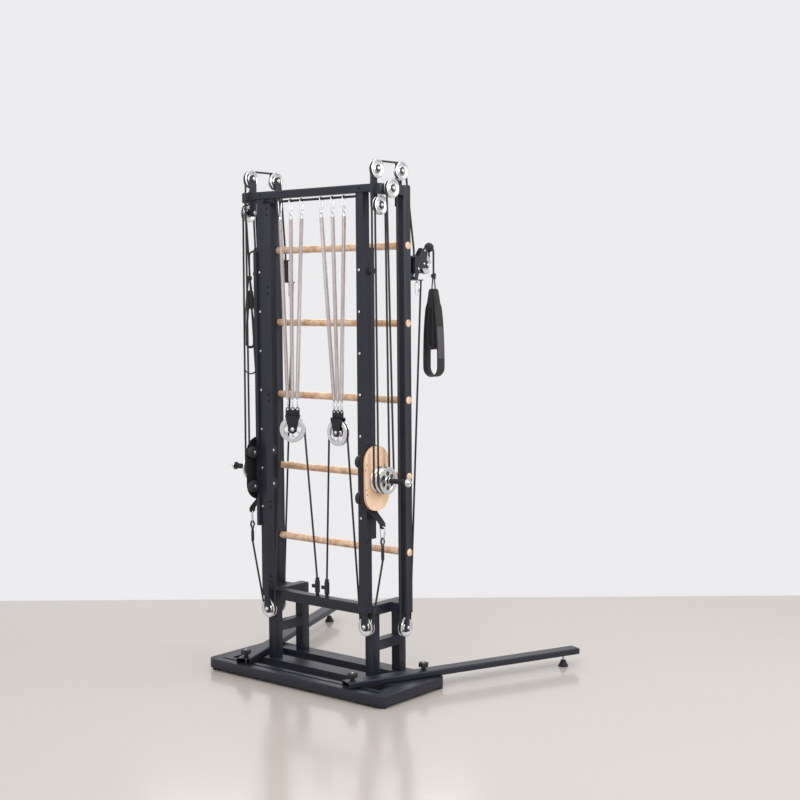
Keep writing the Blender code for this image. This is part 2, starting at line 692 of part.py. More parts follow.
def make_rung(name, index, material):
    height = LOWEST_RUNG_HEIGHT + index * RUNG_PITCH
    reach = HALF_LADDER + RUNG_END
    profile = [
        (-reach, RUNG_DIAMETER / 2 - 0.002),
        (-reach + 0.002, RUNG_DIAMETER / 2),
        (reach - 0.002, RUNG_DIAMETER / 2),
        (reach, RUNG_DIAMETER / 2 - 0.002),
    ]
    return finish(name, lathed(profile, "X", (0.0, LADDER_MIDDLE, height), RUNG_STEPS), material)


def rope_lock_shape(side):
    """A rope lock on the front beam of the stand, where a spring rope ends."""
    x = side * CLEAT_OFFSET
    y = LEG_FRONT + LEG_TUBE / 2
    pieces = [
        rod("Z", (x, y), 0.008, STAND_HEIGHT - LAP, STAND_HEIGHT + 0.014),
        rod("Z", (x, y), 0.011, STAND_HEIGHT + 0.012, CLEAT_TOP),
        block((x - 0.028, y - 0.004, STAND_HEIGHT + 0.030), (x - 0.006, y + 0.004, STAND_HEIGHT + 0.044)),
    ]
    return joined(pieces)


# Carriage

def make_carriage_plate(name, side, material):
    """The steel plate with its rollers, the drum axle, the peg, and the hook arm with its link and rope eye."""
    outline = rounded_rectangle(CARRIAGE_PLATE_WIDTH + 0.004, CARRIAGE_PLATE_LENGTH + 0.004, CARRIAGE_PLATE_CORNER, 4)
    middle = (UPRIGHT_MIDDLE, CARRIAGE_PLATE_HEIGHT)
    shapes = [prism(outline, "X", STEEL_INNER, STEEL_OUTER, middle)]
    for y in (ROLLER_FRONT, ROLLER_REAR):
        for z in roller_heights():
            head = ROLLER_MIDDLE - ROLLER_WIDTH / 2
            shapes.append(rod("X", (y, z), ROLLER_AXLE / 2 + 0.003, head - 0.004, head + 0.001, 6))
            spacer = ROLLER_MIDDLE + ROLLER_WIDTH / 2 - 0.001
            shapes.append(rod("X", (y, z), ROLLER_AXLE / 2 + 0.003, spacer, STEEL_INNER + 0.001, 6))
    axle = (DRUM_Y, CARRIAGE_HEIGHT)
    shapes.append(rod("X", axle, DRUM_AXLE_DIAMETER / 2, STEEL_OUTER - 0.001, DRUM_OUTER + 0.003))
    sleeve_end = DRUM_OUTER + GAP + PEG_SLEEVE_LENGTH
    washer_end = sleeve_end + 0.006
    shapes.append(rod("X", axle, PEG_SLEEVE_DIAMETER / 2, DRUM_OUTER + GAP, sleeve_end + 0.001))
    shapes.append(rod("X", axle, PEG_WASHER_DIAMETER / 2, sleeve_end, washer_end, 16))
    shapes.append(rod("X", axle, 0.005, washer_end - 0.001, washer_end + PEG_PIN_LENGTH, 8))
    shapes.append(hook_arm_shape())
    hole = rod("X", (UPRIGHT_MIDDLE, HOOK_HOLE_HEIGHT), 0.0045, HOOK_X - 0.01, HOOK_X + 0.01)
    plate = cut(joined(shapes), [hole])
    shape = joined([plate] + roller_shapes() + hook_link_shapes())
    return finish(name, to_side(shape, side), material)


def hook_arm_shape():
    thickness = CARRIAGE_STEEL - 0.0002
    start = CARRIAGE_PLATE_HEIGHT - CARRIAGE_PLATE_LENGTH / 2
    mid = (STEEL_INNER + STEEL_OUTER) / 2
    path = [
        (mid, start + 0.012),
        (mid, start - 0.014),
        (mid + 0.010, start - 0.024),
        (HOOK_X - 0.010, start - 0.030),
        (HOOK_X, start - 0.040),
        (HOOK_X, HOOK_HOLE_HEIGHT - 0.011),
    ]
    near = []
    far = []
    for index, point in enumerate(path):
        before = Vector(path[max(index - 1, 0)])
        after = Vector(path[min(index + 1, len(path) - 1)])
        direction = (after - before).normalized()
        normal = Vector((-direction.y, direction.x)) * (thickness / 2)
        near.append((point[0] + normal.x, point[1] + normal.y))
        far.append((point[0] - normal.x, point[1] - normal.y))
    outline = near + far[::-1]
    return prism(outline, "Y", UPRIGHT_MIDDLE - 0.011, UPRIGHT_MIDDLE + 0.011)


def roller_heights():
    return (CARRIAGE_HEIGHT + 0.004 - ROLLER_PITCH / 2, CARRIAGE_HEIGHT + 0.004 + ROLLER_PITCH / 2)


def make_board(name, side, material):
    """The rounded birch plate, bored for the drum axle."""
    outline = rounded_rectangle(CARRIAGE_PLATE_WIDTH, CARRIAGE_PLATE_LENGTH, CARRIAGE_PLATE_CORNER - 0.002, 4)
    plate = prism(outline, "X", BOARD_INNER, BOARD_OUTER, (UPRIGHT_MIDDLE, CARRIAGE_PLATE_HEIGHT))
    bore = rod("X", (DRUM_Y, CARRIAGE_HEIGHT), DRUM_AXLE_DIAMETER / 2 + GAP, BOARD_INNER - 0.002, BOARD_OUTER + 0.002)
    return finish(name, to_side(cut(plate, [bore]), side), material)


def roller_shapes():
    """Four rollers that run on the edges of the guide bar, on the plate's axles."""
    wheels = []
    half = ROLLER_WIDTH / 2
    radius = ROLLER_DIAMETER / 2
    profile = [(-half, radius - 0.002), (-half + 0.002, radius), (half - 0.002, radius), (half, radius - 0.002)]
    for y in (ROLLER_FRONT, ROLLER_REAR):
        for z in roller_heights():
            wheels.append(lathed(profile, "X", (ROLLER_MIDDLE, y, z), ROLLER_STEPS))
    return wheels


def make_drum(name, side, material):
    """A two-groove rope drum with round windows through its three flanges."""
    radius = DRUM_DIAMETER / 2
    core = groove_floor(DRUM_PITCH_RADIUS)
    half = DRUM_WIDTH / 2
    bore = DRUM_AXLE_DIAMETER / 2 + 3 * GAP
    offset = DRUM_GROOVE_PITCH / 2
    reach = ROPE_DIAMETER / 2 + GAP
    profile = [
        (-half, bore),
        (-half, radius),
        (-offset - reach, core),
        (-offset + reach, core),
        (0.0, radius),
        (offset - reach, core),
        (offset + reach, core),
        (half, radius),
        (half, bore),
    ]
    centre = (DRUM_MIDDLE, DRUM_Y, CARRIAGE_HEIGHT)
    wheel = turned(profile, "X", centre, 16)
    windows = []
    ring = (core + DRUM_AXLE_DIAMETER / 2) / 2 + 0.002
    for index in range(DRUM_WINDOWS):
        angle = 2 * math.pi * index / DRUM_WINDOWS
        place = (DRUM_Y + ring * math.cos(angle), CARRIAGE_HEIGHT + ring * math.sin(angle))
        windows.append(rod("X", place, 0.0085, DRUM_INNER - 0.002, DRUM_OUTER + 0.002, 8))
    return finish(name, to_side(cut(wheel, windows), side), material, (side * DRUM_MIDDLE, DRUM_Y, CARRIAGE_HEIGHT))


def hook_link_shapes():
    """The snap link in the hook arm, with the rope eye and splice below it."""
    link = tube_shape([oval("Y", (HOOK_X, UPRIGHT_MIDDLE, LINK_TOP), HOOK_LINK_LENGTH, 0.019)], CLIP_WIRE, 0, True)
    eye_top = LINK_TOP - HOOK_LINK_LENGTH + CLIP_WIRE / 2 + 0.003 - LAP
    eye = tube_shape([oval("X", (HOOK_X, UPRIGHT_MIDDLE, eye_top), EYE_LENGTH, 0.018)], 0.006, 0, True)
    splice_top = eye_top - EYE_LENGTH - 0.003 + 0.002
    splice = rod("Z", (HOOK_X, UPRIGHT_MIDDLE), 0.0065, SPLICE_BOTTOM, splice_top)
    return [link, eye, splice]


# Springs and yokes

def spring_lines():
    lines = []
    for index in range(3):
        top = SPRING_FIRST_OFFSET + index * SPRING_PITCH
        bottom = YOKE_OFFSET + (index - 1) * YOKE_EAR_PITCH
        lines.append((top, bottom))
    return lines


def yoke_place(side, x, y):
    """A point of the yoke, given from its axis, turned as the yoke hangs."""
    turn = math.radians(YOKE_TURN_RIGHT if side > 0 else YOKE_TURN_LEFT)
    across = x * math.cos(turn) + y * math.sin(turn)
    along = y * math.cos(turn) - x * math.sin(turn)
    return (side * (YOKE_OFFSET + across), YOKE_Y + along)


def turned_to_yoke(shape, side):
    turn = YOKE_TURN_RIGHT if side > 0 else YOKE_TURN_LEFT
    rotation = Matrix.Rotation(math.radians(-turn), 4, "Z")
    place = Matrix.Translation((YOKE_OFFSET, YOKE_Y, YOKE_AXLE_HEIGHT))
    return to_side(moved(shape, place @ rotation), side)


def make_spring(name, index, side, material):
    """A coil spring, one unbroken tube from its upper to its lower plug."""
    top_x = spring_lines()[index][0]
    bottom_place = yoke_place(side, (index - 1) * YOKE_EAR_PITCH, 0.0)
    route = helix((side * top_x, SPRING_Y), SPRING_TOP, bottom_place, SPRING_BOTTOM)
    return make_tubes(name, [route], SPRING_WIRE, material, 1)


def helix(top, top_z, bottom, bottom_z):
    points = []
    radius = (SPRING_COIL_DIAMETER - SPRING_WIRE) / 2
    count = SPRING_CURLS * CURL_POINTS
    run = SPRING_WIRE
    points.append((top[0] + radius, top[1], top_z))
    for step in range(count + 1):
        share = step / count
        angle = 2 * math.pi * step / CURL_POINTS
        x = top[0] + (bottom[0] - top[0]) * share + radius * math.cos(angle)
        y = top[1] + (bottom[1] - top[1]) * share + radius * math.sin(angle)
        z = top_z - run + (bottom_z + run - top_z + run) * share
        points.append((x, y, z))
    points.append((bottom[0] + radius, bottom[1], bottom_z))
    return points


def top_clip_shapes(side):
    """Snap links over the spring bar and the plugs in the spring tops."""
    shapes = []
    for top_x, _ in spring_lines():
        top = (top_x, SPRING_Y, TOP_CLIP_HEIGHT)
        shapes.append(tube_shape([oval("X", top, CLIP_LENGTH, CLIP_WIDTH)], CLIP_WIRE, 0, True))
        plug_top = TOP_CLIP_HEIGHT - CLIP_LENGTH - CLIP_WIRE / 2 + LAP
        profile = [(SPRING_TOP + GAP, 0.006), (plug_top - 0.005, 0.006), (plug_top, 0.0035)]
        shapes.append(lathed(profile, "Z", (top_x, SPRING_Y, 0.0), 6))
    return [to_side(shape, side) for shape in shapes]


def bottom_clip_shapes(side):
    """Snap links in the yoke's ears and the plugs in the spring ends."""
    shapes = []
    for index in range(3):
        x = (index - 1) * YOKE_EAR_PITCH
        clip_top = BOTTOM_CLIP_LOW + BOTTOM_CLIP_LENGTH
        ring = oval("X", (x, 0.0, clip_top - YOKE_AXLE_HEIGHT), BOTTOM_CLIP_LENGTH, 0.013)
        shapes.append(turned_to_yoke(tube_shape([ring], CLIP_THIN, 0, True), side))
        plug_bottom = clip_top + CLIP_THIN / 2 - LAP
        profile = [
            (plug_bottom - YOKE_AXLE_HEIGHT, 0.0035),
            (plug_bottom + 0.005 - YOKE_AXLE_HEIGHT, 0.006),
            (SPRING_BOTTOM - GAP - YOKE_AXLE_HEIGHT, 0.006),
        ]
        shapes.append(turned_to_yoke(lathed(profile, "Z", (x, 0.0, 0.0), 6), side))
    return shapes


def make_yoke(name, side, material):
    """A folded fork over the big pulley, with three ears and links for the springs."""
    half = PULLEY_WIDTH / 2 + 0.0015
    cheek = 0.003
    fold = BIG_PULLEY_DIAMETER / 2 + 0.003
    shapes = []
    for face in (-half - cheek, half):
        outline = [(-0.012, -0.014), (0.012, -0.014), (0.020, fold + cheek), (-0.020, fold + cheek)]
        shapes.append(prism(outline, "Y", face, face + cheek))
    shapes.append(block((-0.036, -half - cheek, fold), (0.036, half + cheek, fold + cheek)))
    ear_top = EAR_HOLE_HEIGHT + 0.009 - YOKE_AXLE_HEIGHT
    shapes.append(block((-0.036, -cheek / 2, fold + 0.001), (0.036, cheek / 2, ear_top)))
    shapes.append(rod("Y", (0.0, 0.0), AXLE_DIAMETER / 2, -half - cheek - 0.004, half + cheek + 0.003))
    shapes.append(rod("Y", (0.0, 0.0), AXLE_HEAD_DIAMETER / 2, -half - cheek - 0.005, -half - cheek + 0.0005))
    holes = []
    for index in range(3):
        place = ((index - 1) * YOKE_EAR_PITCH, EAR_HOLE_HEIGHT - YOKE_AXLE_HEIGHT)
        holes.append(rod("Y", place, 0.004, -0.01, 0.01))
    parts = [turned_to_yoke(cut(joined(shapes), holes), side)]
    parts.extend(bottom_clip_shapes(side))
    return finish(name, joined(parts), material, (side * YOKE_OFFSET, YOKE_Y, YOKE_AXLE_HEIGHT))


def make_big_pulley(name, side, material):
    bore = AXLE_DIAMETER + 4 * GAP
    wheel = grooved_wheel("Y", (0.0, 0.0, 0.0), BIG_PULLEY_DIAMETER, PULLEY_WIDTH, BIG_PULLEY_PITCH_RADIUS, bore, 16)
    windows = []
    for index in range(BIG_PULLEY_WINDOWS):
        angle = 2 * math.pi * index / BIG_PULLEY_WINDOWS
        place = (0.0255 * math.cos(angle), 0.0255 * math.sin(angle))
        windows.append(rod("Y", place, 0.0095, -0.02, 0.02, 8))
    shape = turned_to_yoke(cut(wheel, windows), side)
    return finish(name, shape, material, (side * YOKE_OFFSET, YOKE_Y, YOKE_AXLE_HEIGHT))


# Ropes

def make_main_rope(name, side, material):
    """From the strap arm over the top pulleys, twice under the drum, and down and up the rear."""
    radius = PULLEY_PITCH_RADIUS
    drum_a = (GROOVE_A, DRUM_Y, CARRIAGE_HEIGHT)
    drum_b = (GROOVE_B, DRUM_Y, CARRIAGE_HEIGHT)
    route = [(*STRAP_AXIS, STRAP_ROPE_TOP), (*STRAP_AXIS, STRAP_ROPE_TOP + 0.012)]
    route += arc("X", HIGH_REAR_CENTRE, radius, -6, 90, 4)
    route += arc("X", HIGH_FRONT_CENTRE, radius, 90, 180, 4)
    route += arc("X", drum_a, DRUM_PITCH_RADIUS, 180, 360, 6)
    route += arc("X", LOW_CENTRE, radius, 0, 180, 6)
    route += arc("X", drum_b, DRUM_PITCH_RADIUS, 180, 360, 6)
    route += arc("X", SIDE_CENTRE, radius, 178, -2, 6)
    route += arc("X", REAR_FOOT_CENTRE, radius, 179, 363, 6)
    route.append((FOOT_PLANE, LADDER_REAR + REAR_STRAND_SETBACK, REAR_STRAND_TOP))
    return make_tubes(name, [mirrored(route, side)], ROPE_DIAMETER, material, 1)


def make_spring_rope(name, side, material):
    """From the carriage hook under the front foot pulley, over the yoke's pulley and down to its lock."""
    start = SPLICE_BOTTOM - GAP
    route = mirrored([(HOOK_X, UPRIGHT_MIDDLE, start), (HOOK_X, UPRIGHT_MIDDLE, start - ROPE_DIAMETER)], side)
    route += mirrored(arc("Y", FRONT_FOOT_CENTRE, PULLEY_PITCH_RADIUS, 10, -184, 7), side)
    for step in range(9):
        angle = math.pi * step / 8
        x, y = yoke_place(side, BIG_PULLEY_PITCH_RADIUS * math.cos(angle), 0.0)
        route.append((x, y, YOKE_AXLE_HEIGHT + BIG_PULLEY_PITCH_RADIUS * math.sin(angle)))
    lock = (side * CLEAT_OFFSET, LEG_FRONT + LEG_TUBE / 2)
    route += [(*lock, CLEAT_TOP + GAP + ROPE_DIAMETER), (*lock, CLEAT_TOP + GAP)]
    return make_tubes(name, [route], ROPE_DIAMETER, material, 1)


# Strap arms

def strap_turn(side):
    """Turns a shape drawn from the swivel axis, pointing back, to where the arm hangs."""
    turn = STRAP_ARM_TURN_RIGHT if side > 0 else STRAP_ARM_TURN_LEFT
    rotation = Matrix.Rotation(math.radians(-turn), 4, "Z")
    place = Matrix.Translation((STRAP_AXIS[0], STRAP_AXIS[1], 0.0))
    return place @ rotation


def arm_to_side(shape, side):
    return to_side(moved(shape, strap_turn(side)), side)


def strap_bracket_shape():
    """The bracket on the ladder upright, with a hollow pivot above and a pin below."""
    x, y = STRAP_AXIS
    back = LADDER_REAR - LAP
    low = STRAP_ARM_HEIGHT - 0.062
    high = STRAP_ARM_HEIGHT + 0.034
    thick = 0.006
    shapes = [block((x - 0.017, back, low), (x + 0.017, back + 0.004, high))]
    for base in (low, high - thick):
        shapes.append(block((x - 0.016, back + 0.003, base), (x + 0.016, y, base + thick)))
        shapes.append(rod("Z", (x, y), 0.016, base, base + thick))
    shapes.append(rod("Z", (x, y), 0.0085, high - thick - 0.007, high - 0.0005))
    shapes.append(rod("Z", (x, y), 0.004, low + 0.0005, low + thick + 0.009))
    lug_end = LADDER_REAR + REAR_STRAND_SETBACK
    shapes.append(block((x - 0.010, y, low), (x + 0.010, lug_end, low + 0.004)))
    shapes.append(rod("Z", (x, lug_end), 0.010, low, low + 0.004))
    bore = rod("Z", (x, y), 0.0055, high - 0.03, high + 0.01)
    return cut(joined(shapes), [bore])


def make_strap_arm(name, side, material):
    """Two cheeks round the strap pulley, bridged at the swivel, with the rope inside and its ball."""
    low = STRAP_ARM_HEIGHT - 0.062 + 0.006 + GAP
    high = STRAP_ARM_HEIGHT + 0.034 - 0.006 - GAP
    half = PULLEY_WIDTH / 2 + 0.0015
    cheek = 0.003
    reach = STRAP_WHEEL_REACH
    middle = STRAP_ARM_HEIGHT
    outline = [
        (-0.012, low),
        (0.055, low),
        (reach + 0.006, middle - 0.014),
        (reach + 0.006, middle + 0.040),
        (reach, middle + 0.066),
        (0.056, middle + 0.064),
        (0.042, high),
        (-0.012, high),
    ]
    shapes = []
    for face in (-half - cheek, half):
        shapes.append(prism(outline, "X", face, face + cheek))
    shapes.append(block((-half - 0.001, -0.012, low), (half + 0.001, 0.014, low + 0.005)))
    shapes.append(block((-half - 0.001, -0.012, high - 0.005), (half + 0.001, 0.014, high)))
    shapes.append(block((-half - 0.001, 0.056, middle + 0.046), (half + 0.001, 0.072, middle + 0.050)))
    shapes.append(rod("X", (reach, middle), AXLE_DIAMETER / 2, -half - cheek - 0.004, half + cheek + 0.004))
    guide = (GUIDE_ROLL_RADIUS, middle - PULLEY_PITCH_RADIUS + GUIDE_ROLL_RADIUS)
    shapes.append(rod("X", guide, GUIDE_ROLL_RADIUS - ROPE_DIAMETER / 2 + LAP, -half - 0.001, half + 0.001))
    bores = [
        rod("Z", (0.0, 0.0), (0.0085 + GAP) / math.cos(math.pi / 8), high - 0.02, high + 0.01),
        rod("Z", (0.0, 0.0), (0.004 + GAP) / math.cos(math.pi / 8), low - 0.01, low + 0.01),
    ]
    parts = [arm_to_side(cut(joined(shapes), bores), side), arm_rope_shape(side), strap_ball_shape(side)]
    return finish(name, joined(parts), material, (side * STRAP_AXIS[0], STRAP_AXIS[1], STRAP_ARM_HEIGHT))


def make_strap_wheel(name, side, material):
    bore = AXLE_DIAMETER + 4 * GAP
    centre = (0.0, STRAP_WHEEL_REACH, STRAP_ARM_HEIGHT)
    wheel = grooved_wheel("X", centre, PULLEY_DIAMETER, PULLEY_WIDTH, PULLEY_PITCH_RADIUS, bore)
    axis = strap_turn(side) @ Vector(centre)
    return finish(name, arm_to_side(wheel, side), material, (side * axis.x, axis.y, axis.z))


def strap_route(side, points):
    return [(side * p.x, p.y, p.z) for p in (strap_turn(side) @ Vector(point) for point in points)]


def arm_rope_shape(side):
    """The main rope inside the arm, under the strap pulley and up to the ball."""
    middle = STRAP_ARM_HEIGHT
    guide = (0.0, GUIDE_ROLL_RADIUS, middle - PULLEY_PITCH_RADIUS + GUIDE_ROLL_RADIUS)
    wheel = (0.0, STRAP_WHEEL_REACH, middle)
    points = [(0.0, 0.0, STRAP_ROPE_TOP - GAP)]
    points += arc("X", guide, GUIDE_ROLL_RADIUS, 180, 270, 3)
    points += arc("X", wheel, PULLEY_PITCH_RADIUS, 270, 360, 4)
    ball_y = STRAP_WHEEL_REACH + PULLEY_PITCH_RADIUS
    points.append((0.0, ball_y, middle + STRAP_BALL_RISE - STRAP_BALL_DIAMETER / 2 + 0.002))
    return tube_shape([strap_route(side, points)], ROPE_DIAMETER, 1)


def strap_ball_shape(side):
    ball_y = STRAP_WHEEL_REACH + PULLEY_PITCH_RADIUS
    radius = STRAP_BALL_DIAMETER / 2
    profile = []
    for step in range(1, 6):
        angle = math.pi * step / 6
        profile.append((-radius * math.cos(angle), radius * math.sin(angle)))
    flat = radius * 0.97
    profile = [(-flat, 0.004)] + profile + [(flat, 0.004)]
    shape = lathed(profile, "Z", (0.0, ball_y, STRAP_ARM_HEIGHT + STRAP_BALL_RISE), BALL_STEPS)
    return arm_to_side(shape, side)


def make_strap_rope(name, side, material):
    """The free tail of the main rope, out of the ball and down to its knot."""
    middle = STRAP_ARM_HEIGHT + STRAP_BALL_RISE
    ball_face = STRAP_BALL_DIAMETER / 2 * math.cos(math.pi / BALL_STEPS)
    exit_y = STRAP_WHEEL_REACH + PULLEY_PITCH_RADIUS + ball_face + GAP
    bend = STRAP_HANG_REACH - exit_y
    points = arc("X", (0.0, exit_y, middle - bend), bend, 90, 0, 6)
    for share in (0.35, 0.7):
        points.append((0.0, STRAP_HANG_REACH, middle - bend - (middle - bend - KNOT_TOP) * share))
    points.append((0.0, STRAP_HANG_REACH, KNOT_TOP + GAP))
    return make_tubes(name, [strap_route(side, points)], ROPE_DIAMETER, material)


def make_strap(name, side, material):
    """The knot, its two short cords and the webbing loop."""
    twist = STRAP_TWIST_RIGHT if side > 0 else STRAP_TWIST_LEFT
    half_gap = (STRAP_GAP_BOTTOM_RIGHT if side > 0 else STRAP_GAP_BOTTOM_LEFT) / 2
    knot = lathed(
        [(0.0, 0.005), (-0.006, 0.011), (-0.016, 0.011), (-0.022, 0.005)],
        "Z", (0.0, 0.0, KNOT_TOP), 12)
    cords = []
    for way in (-1, 1):
        cords.append([(way * 0.004, 0.0, KNOT_TOP - 0.018), (way * 0.009, 0.0, STRAP_TOP - 0.004)])
    parts = [knot]
    parts.extend(tube_shape([cord], 0.005) for cord in cords)
    outer = strap_outline(STRAP_GAP_TOP / 2 + STRAP_THICKNESS, half_gap + STRAP_THICKNESS, STRAP_TOP, STRAP_BOTTOM)
    inner = strap_outline(STRAP_GAP_TOP / 2, half_gap, STRAP_TOP - STRAP_THICKNESS,
                          STRAP_BOTTOM + STRAP_THICKNESS)
    parts.append(prism(outer, "Y", -STRAP_WIDTH / 2, STRAP_WIDTH / 2))
    hole = prism(inner, "Y", -STRAP_WIDTH, STRAP_WIDTH)
    shape = cut(joined(parts), [hole])
    place = Matrix.Translation((0.0, STRAP_HANG_REACH, 0.0)) @ Matrix.Rotation(math.radians(twist), 4, "Z")
    return finish(name, arm_to_side(moved(shape, place), side), material)


def strap_outline(half_top, half_bottom, top, bottom):
    points = []
    for step in range(5):
        angle = math.radians(180 * step / 4)
        points.append((half_top * math.cos(angle), top - half_top + half_top * math.sin(angle)))
    for step in range(9):
        angle = math.radians(180 + 180 * step / 8)
        points.append((half_bottom * math.cos(angle), bottom + half_bottom + half_bottom * math.sin(angle)))
    return points


# Outrigger arms

def arm_point(station):
    angle = math.radians(ARM_ANGLE)
    x = ARM_NEAR_OFFSET + station * math.cos(angle)
    y = FRONT_Y + ARM_NEAR_SETBACK + station * math.sin(angle)
    return (x, y)


def arm_matrix():
    rotation = Matrix.Rotation(math.radians(ARM_ANGLE), 4, "Z")
    return Matrix.Translation((ARM_NEAR_OFFSET, FRONT_Y + ARM_NEAR_SETBACK, 0.0)) @ rotation


def make_arm(name, side, material):
    """A flat rectangular tube, open at its near end and plugged at its far end."""
    half = ARM_WIDTH / 2
    tube = bar("X", (0.0, -half, ARM_BOTTOM), (ARM_LENGTH, half, ARM_TOP), 0.004)
    inner = bar("X", (-0.01, -half + ARM_WALL, ARM_BOTTOM + ARM_WALL),
                (ARM_LENGTH - 0.004, half - ARM_WALL, ARM_TOP - ARM_WALL), 0.002, 1)
    cutters = [inner]
    for station in KNOB_STATIONS:
        cutters.append(rod("Z", (station, 0.0), STUD_DIAMETER / 2 + 2 * GAP, ARM_BOTTOM - 0.01, ARM_TOP + 0.01))
    foot_bore = rod("Z", (ARM_FOOT_STATION, 0.0), STUD_DIAMETER / 2 + 2 * GAP, ARM_BOTTOM - 0.01, ARM_BOTTOM + 0.01)
    cutters.append(foot_bore)
    shape = moved(cut(tube, cutters), arm_matrix())
    return finish(name, to_side(shape, side), material)


def make_knob(name, station, side, material):
    """A star knob on its stud, with the nut under the base rail."""
    x, y = arm_point(station)
    outline = []
    lobes = 6
    for index in range(lobes * 3):
        angle = 2 * math.pi * index / (lobes * 3)
        swell = (1.0, 1.0, 0.75)[index % 3]
        outline.append((KNOB_DIAMETER / 2 * swell * math.cos(angle), KNOB_DIAMETER / 2 * swell * math.sin(angle)))
    base = ARM_TOP + GAP
    pieces = [
        prism(outline, "Z", base + 0.012, base + 0.030, (x, y)),
        rod("Z", (x, y), 0.009, base, base + 0.013, 8),
        rod("Z", (x, y), STUD_DIAMETER / 2, NUT_BOTTOM + 0.001, base + 0.001, 8),
        rod("Z", (x, y), 0.009, NUT_BOTTOM, BASE_FOOT_HEIGHT - GAP, 6),
    ]
    return finish(name, to_side(joined(pieces), side), material, (side * x, y, base))


def make_levelling_foot(name, side, material):
    x, y = arm_point(ARM_FOOT_STATION)
    radius = ARM_FOOT_DIAMETER / 2
    stem = STUD_DIAMETER / 2
    profile = [
        (0.0, radius),
        (0.006, radius),
        (0.020, radius * 0.6),
        (0.028, radius * 0.45),
        (0.0281, stem),
        (ARM_BOTTOM - 0.007, stem),
        (ARM_BOTTOM - 0.0069, stem + 0.0035),
        (ARM_BOTTOM - GAP - 0.0001, stem + 0.0035),
        (ARM_BOTTOM - GAP, stem),
        (ARM_TOP - ARM_WALL - 0.003, stem),
    ]
    shape = lathed(profile, "Z", (x, y, 0.0), 12)
    return finish(name, to_side(shape, side), material, (side * x, y, 0.0))


def report_spring_gap():
    """Prints the least gap between the curls of one spring."""
    top_x, bottom_x = spring_lines()[0]
    route = helix((top_x, SPRING_Y), SPRING_TOP, (bottom_x, YOKE_Y), SPRING_BOTTOM)
    least = 1.0
    for index, point in enumerate(route):
        for other in route[index + CURL_POINTS // 2:]:
            least = min(least, (Vector(point) - Vector(other)).length)
    print("least gap between spring curls, mm:", round((least - SPRING_WIRE) * 1000, 2))


def main():
    clear_scene()
    frame = make_material("charcoal_powder_coat", (0.045, 0.048, 0.055), 0.45, 0.3)
    black = make_material("black_steel", (0.015, 0.015, 0.017), 0.4, 0.5)
    rubber = make_material("rubber", (0.012, 0.012, 0.012), 0.8, 0.0)
    plastic = make_material("black_plastic", (0.014, 0.014, 0.015), 0.5, 0.0)
    beech = make_material("beech", (0.58, 0.33, 0.16), 0.45, 0.0)
    birch = make_material("birch_board", (0.79, 0.52, 0.30), 0.5, 0.0)
    chrome = make_material("chrome", (0.75, 0.76, 0.78), 0.15, 1.0)
    spring_steel = make_material("spring_steel", (0.42, 0.39, 0.35), 0.35, 0.9)
    rope = make_material("rope", (0.01, 0.01, 0.011), 0.9, 0.0)
    webbing = make_material("webbing", (0.012, 0.012, 0.013), 0.85, 0.0)

    make_base(frame)
    make_stand(frame)
    make_front_frame(frame)
    make_top_frame(frame)
    for index in range(RUNG_COUNT):
        make_rung(f"rung_{index + 1}", index, beech)
    for side, word in ((-1, "left"), (1, "right")):
        make_ladder_upright(f"ladder_upright_{word}", side, frame)
        make_pulley(f"pulley_high_front_{word}", "X", HIGH_FRONT_CENTRE, side, chrome)
        make_pulley(f"pulley_high_rear_{word}", "X", HIGH_REAR_CENTRE, side, chrome)
        make_pulley(f"pulley_low_{word}", "X", LOW_CENTRE, side, chrome)
        make_pulley(f"pulley_side_{word}", "X", SIDE_CENTRE, side, chrome)
        make_pulley(f"pulley_rear_foot_{word}", "X", REAR_FOOT_CENTRE, side, chrome)
        make_pulley(f"pulley_front_foot_{word}", "Y", FRONT_FOOT_CENTRE, side, chrome)
        make_carriage_plate(f"carriage_plate_{word}", side, black)
        make_board(f"carriage_board_{word}", side, birch)
        make_drum(f"rope_drum_{word}", side, chrome)
        make_main_rope(f"main_rope_{word}", side, rope)
        make_spring_rope(f"spring_rope_{word}", side, rope)
        for index, place in enumerate(("inner", "middle", "outer")):
            make_spring(f"spring_{place}_{word}", index, side, spring_steel)
        make_yoke(f"yoke_{word}", side, black)
        make_big_pulley(f"big_pulley_{word}", side, chrome)
        make_strap_arm(f"strap_arm_{word}", side, black)
        make_strap_wheel(f"strap_wheel_{word}", side, chrome)
        make_strap_rope(f"strap_rope_{word}", side, rope)
        make_strap(f"strap_{word}", side, webbing)
        make_arm(f"outrigger_arm_{word}", side, frame)
        for place, station in zip(("front", "rear"), KNOB_STATIONS):
            make_knob(f"knob_{place}_{word}", station, side, plastic)
        make_levelling_foot(f"levelling_foot_{word}", side, rubber)
    report_spring_gap()


main()
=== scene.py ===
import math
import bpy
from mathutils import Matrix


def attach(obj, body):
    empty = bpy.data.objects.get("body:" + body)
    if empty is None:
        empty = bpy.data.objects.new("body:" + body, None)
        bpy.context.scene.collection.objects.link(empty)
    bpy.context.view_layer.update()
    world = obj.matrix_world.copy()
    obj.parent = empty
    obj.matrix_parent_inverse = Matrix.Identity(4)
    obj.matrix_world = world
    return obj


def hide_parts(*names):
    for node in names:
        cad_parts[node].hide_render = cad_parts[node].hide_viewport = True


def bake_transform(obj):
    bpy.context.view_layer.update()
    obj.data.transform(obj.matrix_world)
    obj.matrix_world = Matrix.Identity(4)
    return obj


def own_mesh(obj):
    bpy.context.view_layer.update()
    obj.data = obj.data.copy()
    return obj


bl_info = {
    "name": "Pulley and spring tower",
    "version": (1, 0, 0),
    "blender": (4, 5, 0),
    "location": "3D View > Sidebar > Tower",
    "description": "Builds the finished look of an exercise tower on its packed frame",
    "category": "Object",
}

from itertools import product

import bmesh
import bpy
from mathutils import Matrix, Vector

